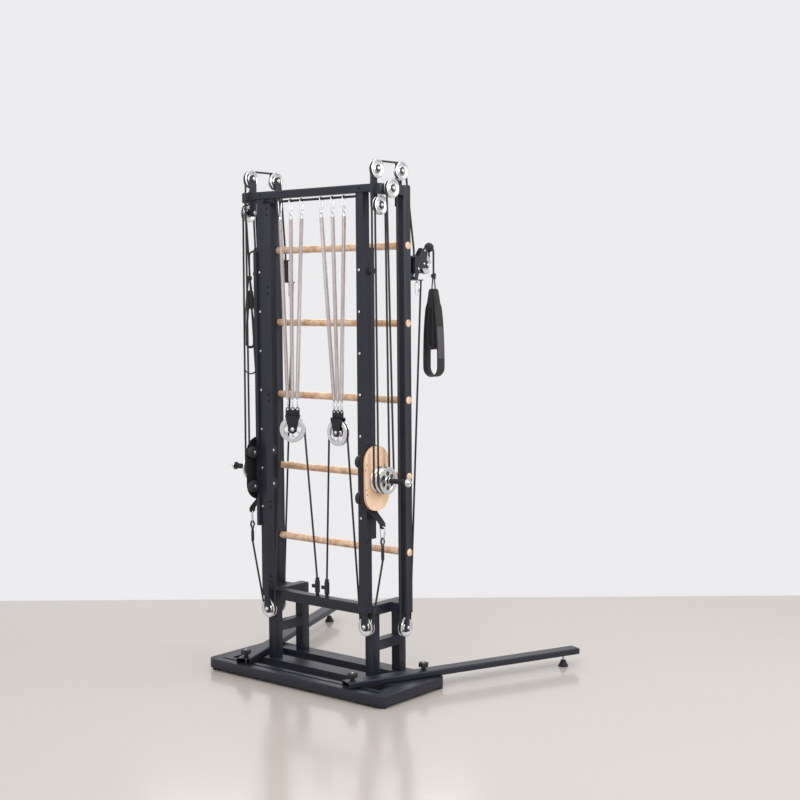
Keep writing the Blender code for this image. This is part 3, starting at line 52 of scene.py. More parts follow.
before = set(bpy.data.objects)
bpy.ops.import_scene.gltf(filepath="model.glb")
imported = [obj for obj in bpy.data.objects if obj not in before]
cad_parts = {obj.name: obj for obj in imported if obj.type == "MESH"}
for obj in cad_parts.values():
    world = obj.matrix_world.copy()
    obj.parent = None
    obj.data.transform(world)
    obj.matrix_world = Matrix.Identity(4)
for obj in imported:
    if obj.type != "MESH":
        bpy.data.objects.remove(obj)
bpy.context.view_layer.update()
SIDES = (("left", -1), ("right", 1))

# Places on the right side, in metres; the left side mirrors them

UPRIGHT_MIDDLE = -0.360
UPRIGHT_X = (0.248, 0.284)
UPRIGHT_Y = (-0.379, -0.341)
GUIDE_X = (0.284, 0.300)
GUIDE_Y = (-0.388, -0.332)
GUIDE_Z = (0.610, 1.735)
BEAM_BOTTOM = 1.944
STOP_HEIGHT = 1.645
LUG_RADIUS = 0.0165
SCREW_COLUMN = {"left": 0.2745, "right": 0.2620}
SCREW_START = 0.690
SCREW_PITCH = 0.160
SIDE_HOLE_HEIGHTS = (1.908, 1.882, 1.591, 1.564, 1.150, 1.125, 0.710, 0.685, 0.397, 0.372)
LEG_FACE = 0.2861
LADDER_X = (0.327, 0.369)
LADDER_Y = (-0.234, -0.192)
RUNG_Y = -0.213
RUNG_HALF_LENGTH = 0.3720
RUNG_RADIUS = 0.0148
RUNG_HEIGHTS = (0.544, 0.844, 1.144, 1.444, 1.744)
GROOVE_A = 0.33805
GROOVE_B = 0.36055
DRUM_CENTRE = (0.3493, -0.342, 0.842)
DRUM_PITCH_RADIUS = 0.0465
BOARD_CENTRE = (-0.360, 0.8475)
BOARD_X = (0.30935, 0.32135)
STEEL_X = (0.30505, 0.30905)
ROLLER_X = 0.292
ROLLER_Y = (-0.4133, -0.3067)
ROLLER_Z = (0.776, 0.916)
HIGH_FRONT = (0.33805, -0.3585, 2.031)
HIGH_REAR = (0.33805, -0.214, 2.031)
LOW = (0.35405, -0.3585, 1.893)
SIDE = (0.3805, -0.321, 1.957)
REAR_FOOT = (0.348, -0.216, 0.243)
FRONT_FOOT = (0.266, -0.357, 0.260)
PULLEY_PITCH_RADIUS = 0.030
BIG_PITCH_RADIUS = 0.0475
ROPE_DIAMETER = 0.008
SPRING_BAR_HEIGHT = 1.932
SPRING_TOPS = (0.053, 0.1125, 0.172)
SPRING_TOP = 1.8602
SPRING_LOW = 1.1498
SPRING_LAP = 0.0006
ROPE_LOCK = (0.026, -0.3207, 0.4003)
EYE_SPLICE = 0.5320
HOOK_BOLT = (0.014, 0.7125)
EAR_PITCH = 0.0198
YOKE_AXIS = (0.123, -0.352, 1.015)
YOKE_TURN = {"left": 35.0, "right": 0.0}
HOOK_X = 0.355
HOOK_HOLE = 0.6675
CLIP_LENGTH = 0.050
STRAP_AXIS = (0.348, -0.149)
STRAP_ARM_HEIGHT = 1.672
STRAP_TURN = {"left": 133.0, "right": -8.0}
STRAP_TWIST = {"left": 85.0, "right": -12.0}
STRAP_HALF_WIDTH = {"left": 0.0250, "right": 0.0375}
STAPLE = (0.348, -0.1290, 1.6065)
STAPLE_RADIUS = 0.005
STRAP_REACH = 0.0875
STRAP_HANG = 0.153
STRAP_ROPE_LOW = 1.6403
STRAP_LOOP = (1.5790, 1.2265)
PADDED_LOOP = (1.5150, 1.3390)
LABEL_SPAN = (1.2930, 1.4360)
SEAM_HEIGHTS = (1.5075, 1.5145, 1.5655, 1.5715)
BALL_RISE = 0.070
BALL_RADIUS = 0.019
ARM_START = (0.280, -0.499)
ARM_ANGLE = 68.0
ARM_TOP = 0.0743
KNOB_STATIONS = (("front", 0.030), ("rear", 0.345))
KNOB_RADIUS = 0.0207
FOOT_STATION = 1.018
PLY_THICKNESS = 0.003
SKIN = 0.0001


def size_value(label, text, value):
    return bpy.props.FloatProperty(name=label, description=text, default=value, unit="LENGTH")


def colour_value(label, text, value):
    return bpy.props.FloatVectorProperty(name=label, description=text, default=value, subtype="COLOR")


class TowerSizes(bpy.types.PropertyGroup):
    """Sizes a user would change"""

    edge_radius: size_value("Edge radius", "Rounding along the steel tube edges", 0.0022)
    coil_diameter: size_value("Coil diameter", "Outer diameter of each spring", 0.0168)
    coil_wire: size_value("Coil wire", "Diameter of the spring wire", 0.0022)
    coil_turns: bpy.props.IntProperty(name="Coil turns", description="Turns in each spring", default=262)
    screw_diameter: size_value("Screw diameter", "Head diameter of the guide bar screws", 0.0105)
    stitch_length: size_value("Stitch length", "Length of one strap stitch", 0.003)


class TowerColours(bpy.types.PropertyGroup):
    """Colours a user would change"""

    steel: colour_value("Powder coat", "Charcoal powder coat", (0.0165, 0.0176, 0.0280))
    black: colour_value("Black parts", "Black plates and plastics", (0.010, 0.010, 0.012))
    beech_light: colour_value("Beech, light", "Light grain of the rungs", (0.88, 0.64, 0.44))
    beech_dark: colour_value("Beech, dark", "Dark grain of the rungs", (0.62, 0.33, 0.17))
    birch_light: colour_value("Birch, light", "Light grain of the boards", (0.98, 0.71, 0.49))
    birch_dark: colour_value("Birch, dark", "Dark grain of the boards", (0.86, 0.55, 0.35))
    rope: colour_value("Rope", "Braided rope", (0.014, 0.014, 0.015))
    floor: colour_value("Floor", "Plain studio floor", (0.535, 0.480, 0.435))


# Node tree helpers

def add_node(tree, kind, settings=None, inputs=None):
    """A node with its settings; an input is a plain value or the socket that feeds it."""
    made = tree.nodes.new(kind)
    for key, value in (settings or {}).items():
        setattr(made, key, value)
    for key, value in (inputs or {}).items():
        if isinstance(value, bpy.types.NodeSocket):
            tree.links.new(value, made.inputs[key])
        else:
            made.inputs[key].default_value = value
    return made


def calc(tree, operation, first, second=0.0, third=None):
    inputs = {0: first, 1: second}
    if third is not None:
        inputs[2] = third
    return add_node(tree, "ShaderNodeMath", {"operation": operation}, inputs).outputs[0]


def blend_colours(tree, share, first, second):
    mixer = add_node(tree, "ShaderNodeMix", {"data_type": "RGBA"}, {0: share, 6: first, 7: second})
    return mixer.outputs[2]


def remap(tree, value, low, high):
    limits = {"Value": value, "From Min": 0.0, "From Max": 1.0, "To Min": low, "To Max": high}
    return add_node(tree, "ShaderNodeMapRange", None, limits).outputs[0]


def narrowed(tree, value, low, high):
    limits = {"Value": value, "From Min": low, "From Max": high}
    return add_node(tree, "ShaderNodeMapRange", None, limits).outputs[0]


def noise(tree, place, scale, detail, **more):
    inputs = {"Vector": place, "Scale": scale, "Detail": detail, **more}
    return add_node(tree, "ShaderNodeTexNoise", None, inputs).outputs[0]


def split(tree, vector):
    return add_node(tree, "ShaderNodeSeparateXYZ", None, {0: vector}).outputs


def shader_group(name, inputs, outputs):
    """An empty shader group with its sockets; gives the tree, its input node and its output node."""
    tree = bpy.data.node_groups.new(name, "ShaderNodeTree")
    for label, kind, value in inputs:
        socket = tree.interface.new_socket(label, in_out="INPUT", socket_type=kind)
        if value is not None:
            socket.default_value = value
    for label, kind in outputs:
        tree.interface.new_socket(label, in_out="OUTPUT", socket_type=kind)
    return tree, tree.nodes.new("NodeGroupInput"), tree.nodes.new("NodeGroupOutput")


def fine_bumps_group():
    """Powder coat pimples with slow patches of handling and dust."""
    tree, given, result = shader_group(
        "fine_bumps",
        [("Vector", "NodeSocketVector", None), ("Scale", "NodeSocketFloat", 900.0),
         ("Patch Scale", "NodeSocketFloat", 9.0)],
        [("Height", "NodeSocketFloat"), ("Patches", "NodeSocketFloat")],
    )
    fine = noise(tree, given.outputs["Vector"], given.outputs["Scale"], 2.0)
    slow = noise(tree, given.outputs["Vector"], given.outputs["Patch Scale"], 5.0)
    tree.links.new(fine, result.inputs["Height"])
    tree.links.new(slow, result.inputs["Patches"])
    return tree


def timber_group():
    """Long fibres along X with slow rings, short dark flecks and patches of deeper colour."""
    tree, given, result = shader_group(
        "timber",
        [("Vector", "NodeSocketVector", None), ("Light", "NodeSocketColor", None),
         ("Dark", "NodeSocketColor", None), ("Fibre Scale", "NodeSocketFloat", 260.0),
         ("Ring Scale", "NodeSocketFloat", 26.0), ("Stretch", "NodeSocketFloat", 0.035),
         ("Patch Strength", "NodeSocketFloat", 1.0)],
        [("Color", "NodeSocketColor"), ("Height", "NodeSocketFloat"), ("Fleck", "NodeSocketFloat")],
    )
    parts = split(tree, given.outputs["Vector"])
    along = calc(tree, "MULTIPLY", parts[0], given.outputs["Stretch"])
    drawn = add_node(tree, "ShaderNodeCombineXYZ", None, {0: along, 1: parts[1], 2: parts[2]}).outputs[0]
    fibres = noise(tree, drawn, given.outputs["Fibre Scale"], 4.0)
    rings = noise(tree, drawn, given.outputs["Ring Scale"], 3.0, Distortion=0.6)
    flecks = noise(tree, drawn, calc(tree, "MULTIPLY", given.outputs["Fibre Scale"], 4.0), 1.0)
    fleck = narrowed(tree, flecks, 0.60, 0.72)
    patches = noise(tree, given.outputs["Vector"], 30.0, 2.0, Distortion=0.4)
    share = calc(tree, "MULTIPLY", calc(tree, "SUBTRACT", patches, 0.5), given.outputs["Patch Strength"])
    for mask, weight in ((rings, 0.75), (fleck, 0.35), (fibres, 0.45)):
        share = calc(tree, "MULTIPLY_ADD", mask, weight, share)
    share = narrowed(tree, share, 0.35, 0.95)
    colour = blend_colours(tree, share, given.outputs["Light"], given.outputs["Dark"])
    tree.links.new(colour, result.inputs["Color"])
    tree.links.new(fibres, result.inputs["Height"])
    tree.links.new(fleck, result.inputs["Fleck"])
    return tree


def turned_marks_group():
    """Fine tool rings along a turned profile, and painted sheen: soft bright and dark sectors round the axis
    that stand in for reflections.
    """
    tree, given, result = shader_group(
        "turned_marks",
        [("UV", "NodeSocketVector", None), ("Lines", "NodeSocketFloat", 2600.0)],
        [("Height", "NodeSocketFloat"), ("Smear", "NodeSocketFloat")],
    )
    parts = split(tree, given.outputs["UV"])
    lines = calc(tree, "MULTIPLY", parts[1], given.outputs["Lines"])
    rings = add_node(tree, "ShaderNodeTexNoise", {"noise_dimensions": "1D"},
                     {"W": lines, "Scale": 1.0, "Detail": 3.0}).outputs[0]
    # Painted sheen: a slow pattern by angle round the axis, giving brighter and darker sectors like reflections
    # on turned metal
    around = calc(tree, "SINE", calc(tree, "MULTIPLY", parts[0], 2 * math.pi))
    along = calc(tree, "MULTIPLY", parts[1], 60.0)
    painted_sheen_place = add_node(tree, "ShaderNodeCombineXYZ", None, {0: around, 1: along, 2: 0.0}).outputs[0]
    tree.links.new(rings, result.inputs["Height"])
    tree.links.new(noise(tree, painted_sheen_place, 1.6, 4.0), result.inputs["Smear"])
    return tree


def braid_group():
    """Diamond braid of a rope: U runs round it, V runs along it in metres."""
    tree, given, result = shader_group(
        "rope_braid",
        [("UV", "NodeSocketVector", None), ("Strands", "NodeSocketFloat", 6.0),
         ("Pitch", "NodeSocketFloat", 0.0045)],
        [("Height", "NodeSocketFloat"), ("Crown", "NodeSocketFloat")],
    )
    parts = split(tree, given.outputs["UV"])
    around = calc(tree, "MULTIPLY", parts[0], given.outputs["Strands"])
    along = calc(tree, "DIVIDE", parts[1], given.outputs["Pitch"])
    waves = []
    for operation in ("ADD", "SUBTRACT"):
        angle = calc(tree, "MULTIPLY", calc(tree, operation, around, along), math.pi)
        waves.append(calc(tree, "ABSOLUTE", calc(tree, "SINE", angle)))
    crown = calc(tree, "MULTIPLY", *waves)
    tree.links.new(calc(tree, "SQRT", crown), result.inputs["Height"])
    tree.links.new(crown, result.inputs["Crown"])
    return tree


def weave_group():
    """Ribbed webbing: U runs across it and V along it, both in metres."""
    tree, given, result = shader_group(
        "webbing_weave",
        [("UV", "NodeSocketVector", None), ("Thread", "NodeSocketFloat", 0.0016)],
        [("Height", "NodeSocketFloat"), ("Fuzz", "NodeSocketFloat")],
    )
    parts = split(tree, given.outputs["UV"])
    turns = calc(tree, "DIVIDE", 2 * math.pi, given.outputs["Thread"])
    across, along = (calc(tree, "SINE", calc(tree, "MULTIPLY", part, turns)) for part in parts[:2])
    cross = calc(tree, "MULTIPLY_ADD", calc(tree, "MULTIPLY", across, along), 0.5, 0.5)
    tree.links.new(cross, result.inputs["Height"])
    tree.links.new(noise(tree, given.outputs["UV"], 1400.0, 2.0), result.inputs["Fuzz"])
    return tree


# Materials

GROUP_MAKERS = {
    "fine_bumps": fine_bumps_group,
    "timber": timber_group,
    "turned_marks": turned_marks_group,
    "rope_braid": braid_group,
    "webbing_weave": weave_group,
}


def group_node(tree, name, inputs):
    group = bpy.data.node_groups.get(name) or GROUP_MAKERS[name]()
    made = tree.nodes.new("ShaderNodeGroup")
    made.node_tree = group
    for key, value in inputs.items():
        if isinstance(value, bpy.types.NodeSocket):
            tree.links.new(value, made.inputs[key])
        else:
            made.inputs[key].default_value = value
    return made


def fresh_material(name):
    """A material with its Principled shader and Texture Coordinate node."""
    made = bpy.data.materials.new(name)
    made.use_nodes = True
    tree = made.node_tree
    shader = tree.nodes["Principled BSDF"]
    return made, tree, shader, tree.nodes.new("ShaderNodeTexCoord")


def add_bump(tree, shader, height, distance, strength):
    bump = add_node(tree, "ShaderNodeBump", None,
                    {"Height": height, "Distance": distance, "Strength": strength})
    tree.links.new(bump.outputs[0], shader.inputs["Normal"])


def tinted(colour, factor):
    return (*(min(1.0, channel * factor) for channel in colour), 1.0)


def graded(tree, shader, mask, colour, tints, roughness, wear=None):
    """Colour between two tints, and roughness between two values, where a mask is dark and light."""
    tone = blend_colours(tree, mask, tinted(colour, tints[0]), tinted(colour, tints[1]))
    tree.links.new(tone, shader.inputs["Base Color"])
    tree.links.new(remap(tree, wear or mask, *roughness), shader.inputs["Roughness"])


def bumpy_finish(name, colour, tints, roughness, scales, bump, **constants):
    """A finish of fine bumps and slow patches; constants go on the shader's own sockets."""
    made, tree, shader, places = fresh_material(name)
    coat = group_node(tree, "fine_bumps", {
        "Vector": places.outputs["Object"], "Scale": scales[0], "Patch Scale": scales[1],
    })
    graded(tree, shader, coat.outputs["Patches"], colour, tints, roughness)
    add_bump(tree, shader, coat.outputs["Height"], *bump)
    for socket, value in constants.items():
        shader.inputs[socket.replace("_", " ")].default_value = value
    return made


def coated_steel(name, colour, roughness=(0.34, 0.50), scale=900.0):
    """Powder coated steel, satin, with handling patches and a light dust."""
    return bumpy_finish(name, colour, (0.85, 1.2), roughness, (scale, 7.0), (0.00012, 0.5),
                        Specular_IOR_Level=0.34)


def moulded_plastic(name, colour, roughness=(0.4, 0.6)):
    return bumpy_finish(name, colour, (0.8, 1.3), roughness, (1600.0, 25.0), (0.0001, 0.6))


def drawn_wire(name, colour, roughness):
    """Plated wire and hardware, with a faint mottle."""
    return bumpy_finish(name, colour, (0.75, 1.15), roughness, (700.0, 60.0), (0.00004, 0.3), Metallic=1.0)


def timber(name, light, dark, patch_strength, board=False):
    """Lacquered timber with grain along X, or plywood with upright grain and ply lines on its edge."""
    made, tree, shader, places = fresh_material(name)
    turn = add_node(tree, "ShaderNodeMapping", None, {"Vector": places.outputs["Object"]})
    if board:
        turn.inputs["Rotation"].default_value = (0.0, math.pi / 2, 0.0)
    grain = group_node(tree, "timber", {
        "Vector": turn.outputs[0], "Light": (*light, 1.0), "Dark": (*dark, 1.0),
        "Fibre Scale": 240.0, "Ring Scale": 34.0, "Stretch": 0.05, "Patch Strength": patch_strength,
    })
    colour = grain.outputs["Color"]
    if board:
        across = split(tree, places.outputs["Object"])[0]
        ply = calc(tree, "SINE", calc(tree, "MULTIPLY", across, 2 * math.pi / PLY_THICKNESS))
        facing = split(tree, places.outputs["Normal"])[0]
        edge = calc(tree, "LESS_THAN", calc(tree, "ABSOLUTE", facing), 0.5)
        lines = calc(tree, "MULTIPLY", calc(tree, "GREATER_THAN", ply, 0.2), edge)
        colour = blend_colours(tree, calc(tree, "MULTIPLY", lines, 0.6), colour, tinted(dark, 0.6))
    tree.links.new(colour, shader.inputs["Base Color"])
    tree.links.new(remap(tree, grain.outputs["Fleck"], 0.32, 0.5), shader.inputs["Roughness"])
    add_bump(tree, shader, grain.outputs["Height"], 0.00015, 0.35)
    shader.inputs["Coat Weight"].default_value = 0.25
    shader.inputs["Coat Roughness"].default_value = 0.22
    return made


def turned_metal(name, colour, roughness):
    """Turned and polished metal, with rings that follow the profile, and painted sheen sectors in its colour.
    """
    made, tree, shader, places = fresh_material(name)
    marks = group_node(tree, "turned_marks", {"UV": places.outputs["UV"], "Lines": 2200.0})
    # Colour and roughness follow the painted sheen: lighter and darker sectors that stand in for reflections
    graded(tree, shader, marks.outputs["Smear"], colour, (0.82, 1.1), roughness)
    add_bump(tree, shader, marks.outputs["Height"], 0.00006, 0.4)
    shader.inputs["Metallic"].default_value = 1.0
    return made


def braided_rope(name, colour):
    made, tree, shader, places = fresh_material(name)
    braid = group_node(tree, "rope_braid", {"UV": places.outputs["UV"], "Strands": 6.0, "Pitch": 0.0042})
    # Colour: painted shade in the braid's valleys (half the rope colour) and painted highlight on the strand
    # crowns (twice the rope colour)
    graded(tree, shader, braid.outputs["Crown"], colour, (0.5, 2.0), (0.9, 0.66))
    add_bump(tree, shader, braid.outputs["Height"], 0.0007, 0.8)
    shader.inputs["Sheen Weight"].default_value = 0.15
    shader.inputs["Sheen Roughness"].default_value = 0.5
    return made


def woven_webbing(name, colour):
    made, tree, shader, places = fresh_material(name)
    weave = group_node(tree, "webbing_weave", {"UV": places.outputs["UV"], "Thread": 0.0018})
    # Colour: painted shade between the threads and painted highlight on the raised threads
    graded(tree, shader, weave.outputs["Height"], colour, (0.55, 1.8), (0.7, 0.95), weave.outputs["Fuzz"])
    add_bump(tree, shader, weave.outputs["Height"], 0.0003, 0.8)
    shader.inputs["Sheen Weight"].default_value = 0.2
    shader.inputs["Sheen Roughness"].default_value = 0.4
    return made


def finish_of(name):
    """The named finish, built the first time it is asked for."""
    made = bpy.data.materials.get(name)
    if made:
        return made
    colours = bpy.context.scene.tower_colours
    beech = tuple(colours.beech_light), tuple(colours.beech_dark)
    birch = tuple(colours.birch_light), tuple(colours.birch_dark)
    black = tuple(colours.black)
    rope = tuple(colours.rope)
    makers = {
        "charcoal_coat": lambda: coated_steel(name, tuple(colours.steel)),
        "black_plate": lambda: coated_steel(name, black, (0.32, 0.48), 1200.0),
        "black_plastic": lambda: moulded_plastic(name, black),
        "foam_grip": lambda: moulded_plastic(name, tinted(black, 1.1)[:3], (0.75, 0.95)),
        "soft_rubber": lambda: moulded_plastic(name, tinted(black, 0.9)[:3], (0.6, 0.8)),
        "lacquered_beech": lambda: timber(name, *beech, 2.0),
        "birch_ply": lambda: timber(name, *birch, 0.7, True),
        "polished_steel": lambda: turned_metal(name, (0.76, 0.77, 0.78), (0.14, 0.30)),
        "bright_zinc": lambda: drawn_wire(name, (0.70, 0.71, 0.73), (0.16, 0.32)),
        "coil_wire": lambda: drawn_wire(name, (0.72, 0.66, 0.645), (0.40, 0.58)),
        "braided_rope": lambda: braided_rope(name, rope),
        "strap_webbing": lambda: woven_webbing(name, tinted(rope, 0.85)[:3]),
        # A near-black disc in each frame hole: painted shade for the tube's shaded inside
        "deep_hole": lambda: moulded_plastic(name, (0.002, 0.002, 0.002), (0.9, 1.0)),
        "bare_label": lambda: moulded_plastic(name, (0.052, 0.047, 0.058), (0.42, 0.58)),
        "strap_thread": lambda: moulded_plastic(name, tinted(rope, 2.2)[:3], (0.6, 0.8)),
    }
    return makers[name]()


# Mesh helpers

def start_mesh():
    made = bmesh.new()
    made.loops.layers.uv.new("UVMap")
    return made


def place_on(axis, centre):
    """A matrix that lays local Z along X, Y or Z at a centre."""
    degrees, about = {"X": (90, "Y"), "Y": (-90, "X"), "Z": (0, "Z")}[axis]
    return turned_at(centre, degrees, about)


def place_flat_x(centre):
    """Local X and Y on a plate that faces world X, round a centre in world Y and Z."""
    across = Matrix(((0, 0, 1, 0), (1, 0, 0, 0), (0, 1, 0, 0), (0, 0, 0, 1)))
    return Matrix.Translation((0.0, *centre)) @ across


def place_flat_y(face):
    """Lays a plate's local XY in the XZ plane, growing back from its face."""
    return Matrix(((1, 0, 0, 0), (0, 0, -1, face), (0, 1, 0, 0), (0, 0, 0, 1)))


def turned_at(centre, degrees, axis):
    """A turn about one axis, round a centre."""
    return Matrix.Translation(centre) @ Matrix.Rotation(math.radians(degrees), 4, axis)


def circle(x, y, radius, count):
    angles = [2 * math.pi * index / count for index in range(count)]
    return [(x + radius * math.cos(angle), y + radius * math.sin(angle)) for angle in angles]


def lathe(bm, profile, place, steps=32, closed=False, tag=0):
    """Turns (along, radius) points about local Z; U runs round, V along the profile in metres."""
    layer = bm.loops.layers.uv.active
    rings = []
    travel = [0.0]
    for before, after in zip(profile, profile[1:]):
        travel.append(travel[-1] + math.dist(before, after))
    for along, radius in profile:
        if radius < 1e-6:
            rings.append([bm.verts.new(place @ Vector((0.0, 0.0, along)))])
            continue
        ring = []
        for step in range(steps):
            angle = 2 * math.pi * step / steps
            spot = Vector((radius * math.cos(angle), radius * math.sin(angle), along))
            ring.append(bm.verts.new(place @ spot))
        rings.append(ring)
    count = len(rings)
    pairs = [(index, (index + 1) % count) for index in range(count if closed else count - 1)]
    for first, second in pairs:
        low = rings[first]
        high = rings[second]
        if len(low) == 1 and len(high) == 1:
            continue
        v_low = travel[first]
        v_high = travel[second] if second else travel[-1] + math.dist(profile[-1], profile[0])
        for step in range(steps):
            after = (step + 1) % steps
            corners = [(low[step % len(low)], step, v_low), (low[after % len(low)], step + 1, v_low),
                       (high[after % len(high)], step + 1, v_high), (high[step % len(high)], step, v_high)]
            kept = [c for i, c in enumerate(corners) if c[0] not in [d[0] for d in corners[:i]]]
            face = bm.faces.new([corner[0] for corner in kept])
            face.material_index = tag
            face.smooth = True
            for loop, corner in zip(face.loops, kept):
                loop[layer].uv = (corner[1] / steps, corner[2])
    if not closed:
        for ring in (rings[0], rings[-1]):
            if len(ring) > 1:
                cap = bm.faces.new(ring)
                cap.material_index = tag
    return bm


def sweep(bm, points, radius, sides=12, closed=False, tag=0):
    """A round tube along points; U runs round it, V along it in metres. A radius may be one per point."""
    layer = bm.loops.layers.uv.active
    route = [Vector(point) for point in points]
    count = len(route)
    radii = radius if isinstance(radius, (list, tuple)) else [radius] * count
    tangents = []
    for index in range(count):
        before = route[index - 1] if index or closed else route[index]
        after = route[(index + 1) % count] if index < count - 1 or closed else route[index]
        tangents.append((after - before).normalized())
    normal = tangents[0].orthogonal().normalized()
    rings = []
    travel = 0.0
    for index in range(count):
        if index:
            turn = tangents[index - 1].rotation_difference(tangents[index])
            normal = (turn @ normal).normalized()
            travel += (route[index] - route[index - 1]).length
        side = tangents[index].cross(normal)
        ring = []
        for step in range(sides):
            angle = 2 * math.pi * step / sides
            spot = route[index] + (normal * math.cos(angle) + side * math.sin(angle)) * radii[index]
            ring.append(bm.verts.new(spot))
        rings.append((ring, travel))
    shift = 0
    if closed:
        turn = tangents[-1].rotation_difference(tangents[0])
        end_normal = (turn @ normal).normalized()
        first = rings[0][0][0].co - route[0]
        side = tangents[0].cross(end_normal)
        angle = math.atan2(first.dot(side), first.dot(end_normal))
        shift = round(angle / (2 * math.pi) * sides)
        rings.append((rings[0][0], travel + (route[0] - route[-1]).length))
    for index in range(len(rings) - 1):
        low, low_v = rings[index]
        high, high_v = rings[index + 1]
        turn = shift if closed and index == len(rings) - 2 else 0
        for step in range(sides):
            after = step + 1
            corners = [(low[step], step, low_v), (low[after % sides], after, low_v),
                       (high[(after - turn) % sides], after, high_v),
                       (high[(step - turn) % sides], step, high_v)]
            face = bm.faces.new([corner[0] for corner in corners])
            face.material_index = tag
            face.smooth = True
            for loop, corner in zip(face.loops, corners):
                loop[layer].uv = (corner[1] / sides, corner[2])
    if not closed:
        for ring in (rings[0][0], rings[-1][0]):
            cap = bm.faces.new(ring)
            cap.material_index = tag
    return bm


def box_in(bm, low, high, place=None, tag=0):
    spots = [Vector(spot) for spot in product(*zip(low, high))]
    corners = [bm.verts.new(place @ spot if place else spot) for spot in spots]
    for index in ((0, 1, 3, 2), (4, 6, 7, 5), (0, 4, 5, 1), (2, 3, 7, 6), (0, 2, 6, 4), (1, 5, 7, 3)):
        face = bm.faces.new([corners[i] for i in index])
        face.material_index = tag
    return bm


def plate_in(bm, outline, place, low, high, holes=(), tag=0):
    """A flat plate in local XY with round holes, each given as (x, y, radius)."""
    loops = [[Vector((x, y, low)) for x, y in outline]]
    for x, y, radius in holes:
        loops.append([Vector((*spot, low)) for spot in circle(x, y, radius, 16)])
    edges = []
    rings = []
    for loop in loops:
        ring = [bm.verts.new(spot) for spot in loop]
        rings.append(ring)
        edges.extend(bm.edges.new((ring[i], ring[(i + 1) % len(ring)])) for i in range(len(ring)))
    if len(holes) == 1:
        faces = ring_faces(bm, *rings, Vector((holes[0][0], holes[0][1], low)))
    else:
        filled = bmesh.ops.triangle_fill(bm, edges=edges, use_beauty=True, normal=(0.0, 0.0, -1.0))
        faces = [item for item in filled["geom"] if isinstance(item, bmesh.types.BMFace)]
    grown = bmesh.ops.extrude_face_region(bm, geom=faces, use_keep_orig=True)
    fresh = [item for item in grown["geom"] if isinstance(item, bmesh.types.BMVert)]
    for vert in fresh:
        vert.co.z = high
    used = set(fresh)
    for face in faces:
        used.update(face.verts)
    for vert in used:
        vert.co = place @ vert.co
        for face in vert.link_faces:
            face.material_index = tag
    return bm


def ring_faces(bm, outer, inner, middle):
    """Triangles between an outline and the one hole in it, paired by their angle round the hole."""
    def by_angle(ring):
        return sorted(ring, key=lambda vert: math.atan2(vert.co.y - middle.y, vert.co.x - middle.x))

    def angle(vert, turns):
        return math.atan2(vert.co.y - middle.y, vert.co.x - middle.x) + 2 * math.pi * turns

    outer, inner = by_angle(outer), by_angle(inner)
    faces = []
    i = j = 0
    while i < len(outer) or j < len(inner):
        here, there = outer[i % len(outer)], inner[j % len(inner)]
        far = outer[(i + 1) % len(outer)]
        near = inner[(j + 1) % len(inner)]
        step_out = angle(far, (i + 1) // len(outer))
        step_in = angle(near, (j + 1) // len(inner))
        if j >= len(inner) or (i < len(outer) and step_out <= step_in):
            faces.append(bm.faces.new((here, there, far)))
            i += 1
        else:
            faces.append(bm.faces.new((here, there, near)))
            j += 1
    return faces


def rounded_outline(width, height, radius, steps=10):
    points = []
    corners = ((1, 1, 0), (-1, 1, 90), (-1, -1, 180), (1, -1, 270))
    for right, up, start in corners:
        for step in range(steps + 1):
            angle = math.radians(start + 90 * step / steps)
            x = right * (width / 2 - radius) + radius * math.cos(angle)
            y = up * (height / 2 - radius) + radius * math.sin(angle)
            points.append((x, y))
    return points


def arc_points(axis, centre, radius, start, end, steps):
    """Points of an arc in the plane square to the axis, angles in degrees."""
    points = []
    for step in range(steps + 1):
        angle = math.radians(start + (end - start) * step / steps)
        u = radius * math.cos(angle)
        v = radius * math.sin(angle)
        if axis == "X":
            points.append(Vector((centre[0], centre[1] + u, centre[2] + v)))
        else:
            points.append(Vector((centre[0] + u, centre[1], centre[2] + v)))
    return points


def to_side(bm, side):
    """Mirrors a mesh drawn for the right side when it belongs on the left."""
    if side < 0:
        for vert in bm.verts:
            vert.co.x = -vert.co.x
    return bm


def baked(item):
    """The modifiers' result as the piece's own plain mesh."""
    bpy.context.view_layer.update()
    graph = bpy.context.evaluated_depsgraph_get()
    mesh = bpy.data.meshes.new_from_object(item.evaluated_get(graph), depsgraph=graph)
    mesh.name = item.name
    item.modifiers.clear()
    item.data = mesh
    return item


def finished(name, bm, finishes, body=None, stands_for=(), edge=0.0, angle=35.0, side=1, place=None):
    """A named piece with its finishes and rounded edges, put in place, on its side and on its body."""
    if place:
        bmesh.ops.transform(bm, matrix=place, verts=bm.verts[:])
    to_side(bm, side)
    bmesh.ops.recalc_face_normals(bm, faces=bm.faces[:])
    mesh = bpy.data.meshes.new(name)
    bm.to_mesh(mesh)
    bm.free()
    item = bpy.data.objects.new(name, mesh)
    bpy.context.scene.collection.objects.link(item)
    for finish in finishes:
        mesh.materials.append(finish_of(finish))
    mesh.shade_smooth()
    if edge:
        rounding = item.modifiers.new("rounding", "BEVEL")
        rounding.width = edge
        rounding.segments = 2
        rounding.limit_method = "ANGLE"
        rounding.angle_limit = math.radians(angle)
        rounding.harden_normals = True
        rounding.use_clamp_overlap = True
        baked(item)
    else:
        mesh.set_sharp_from_angle(angle=math.radians(angle))
    if body:
        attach(item, body)
    if stands_for:
        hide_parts(*stands_for)
    return item


def softened(node, finish, body, edge, shaping=None):
    """A CAD node's own shape, welded, reshaped where asked, and with rounded edges."""
    bm = bmesh.new()
    bm.from_mesh(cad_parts[node].data)
    bmesh.ops.remove_doubles(bm, verts=bm.verts[:], dist=0.00002)
    bmesh.ops.dissolve_limit(bm, angle_limit=math.radians(1.0), verts=bm.verts[:], edges=bm.edges[:])
    if shaping:
        shaping(bm)
    for face in bm.faces:
        face.material_index = 0
    return finished(f"{node}_finished", bm, [finish], body, [node], edge, 30.0)


# Repeats made with Geometry Nodes

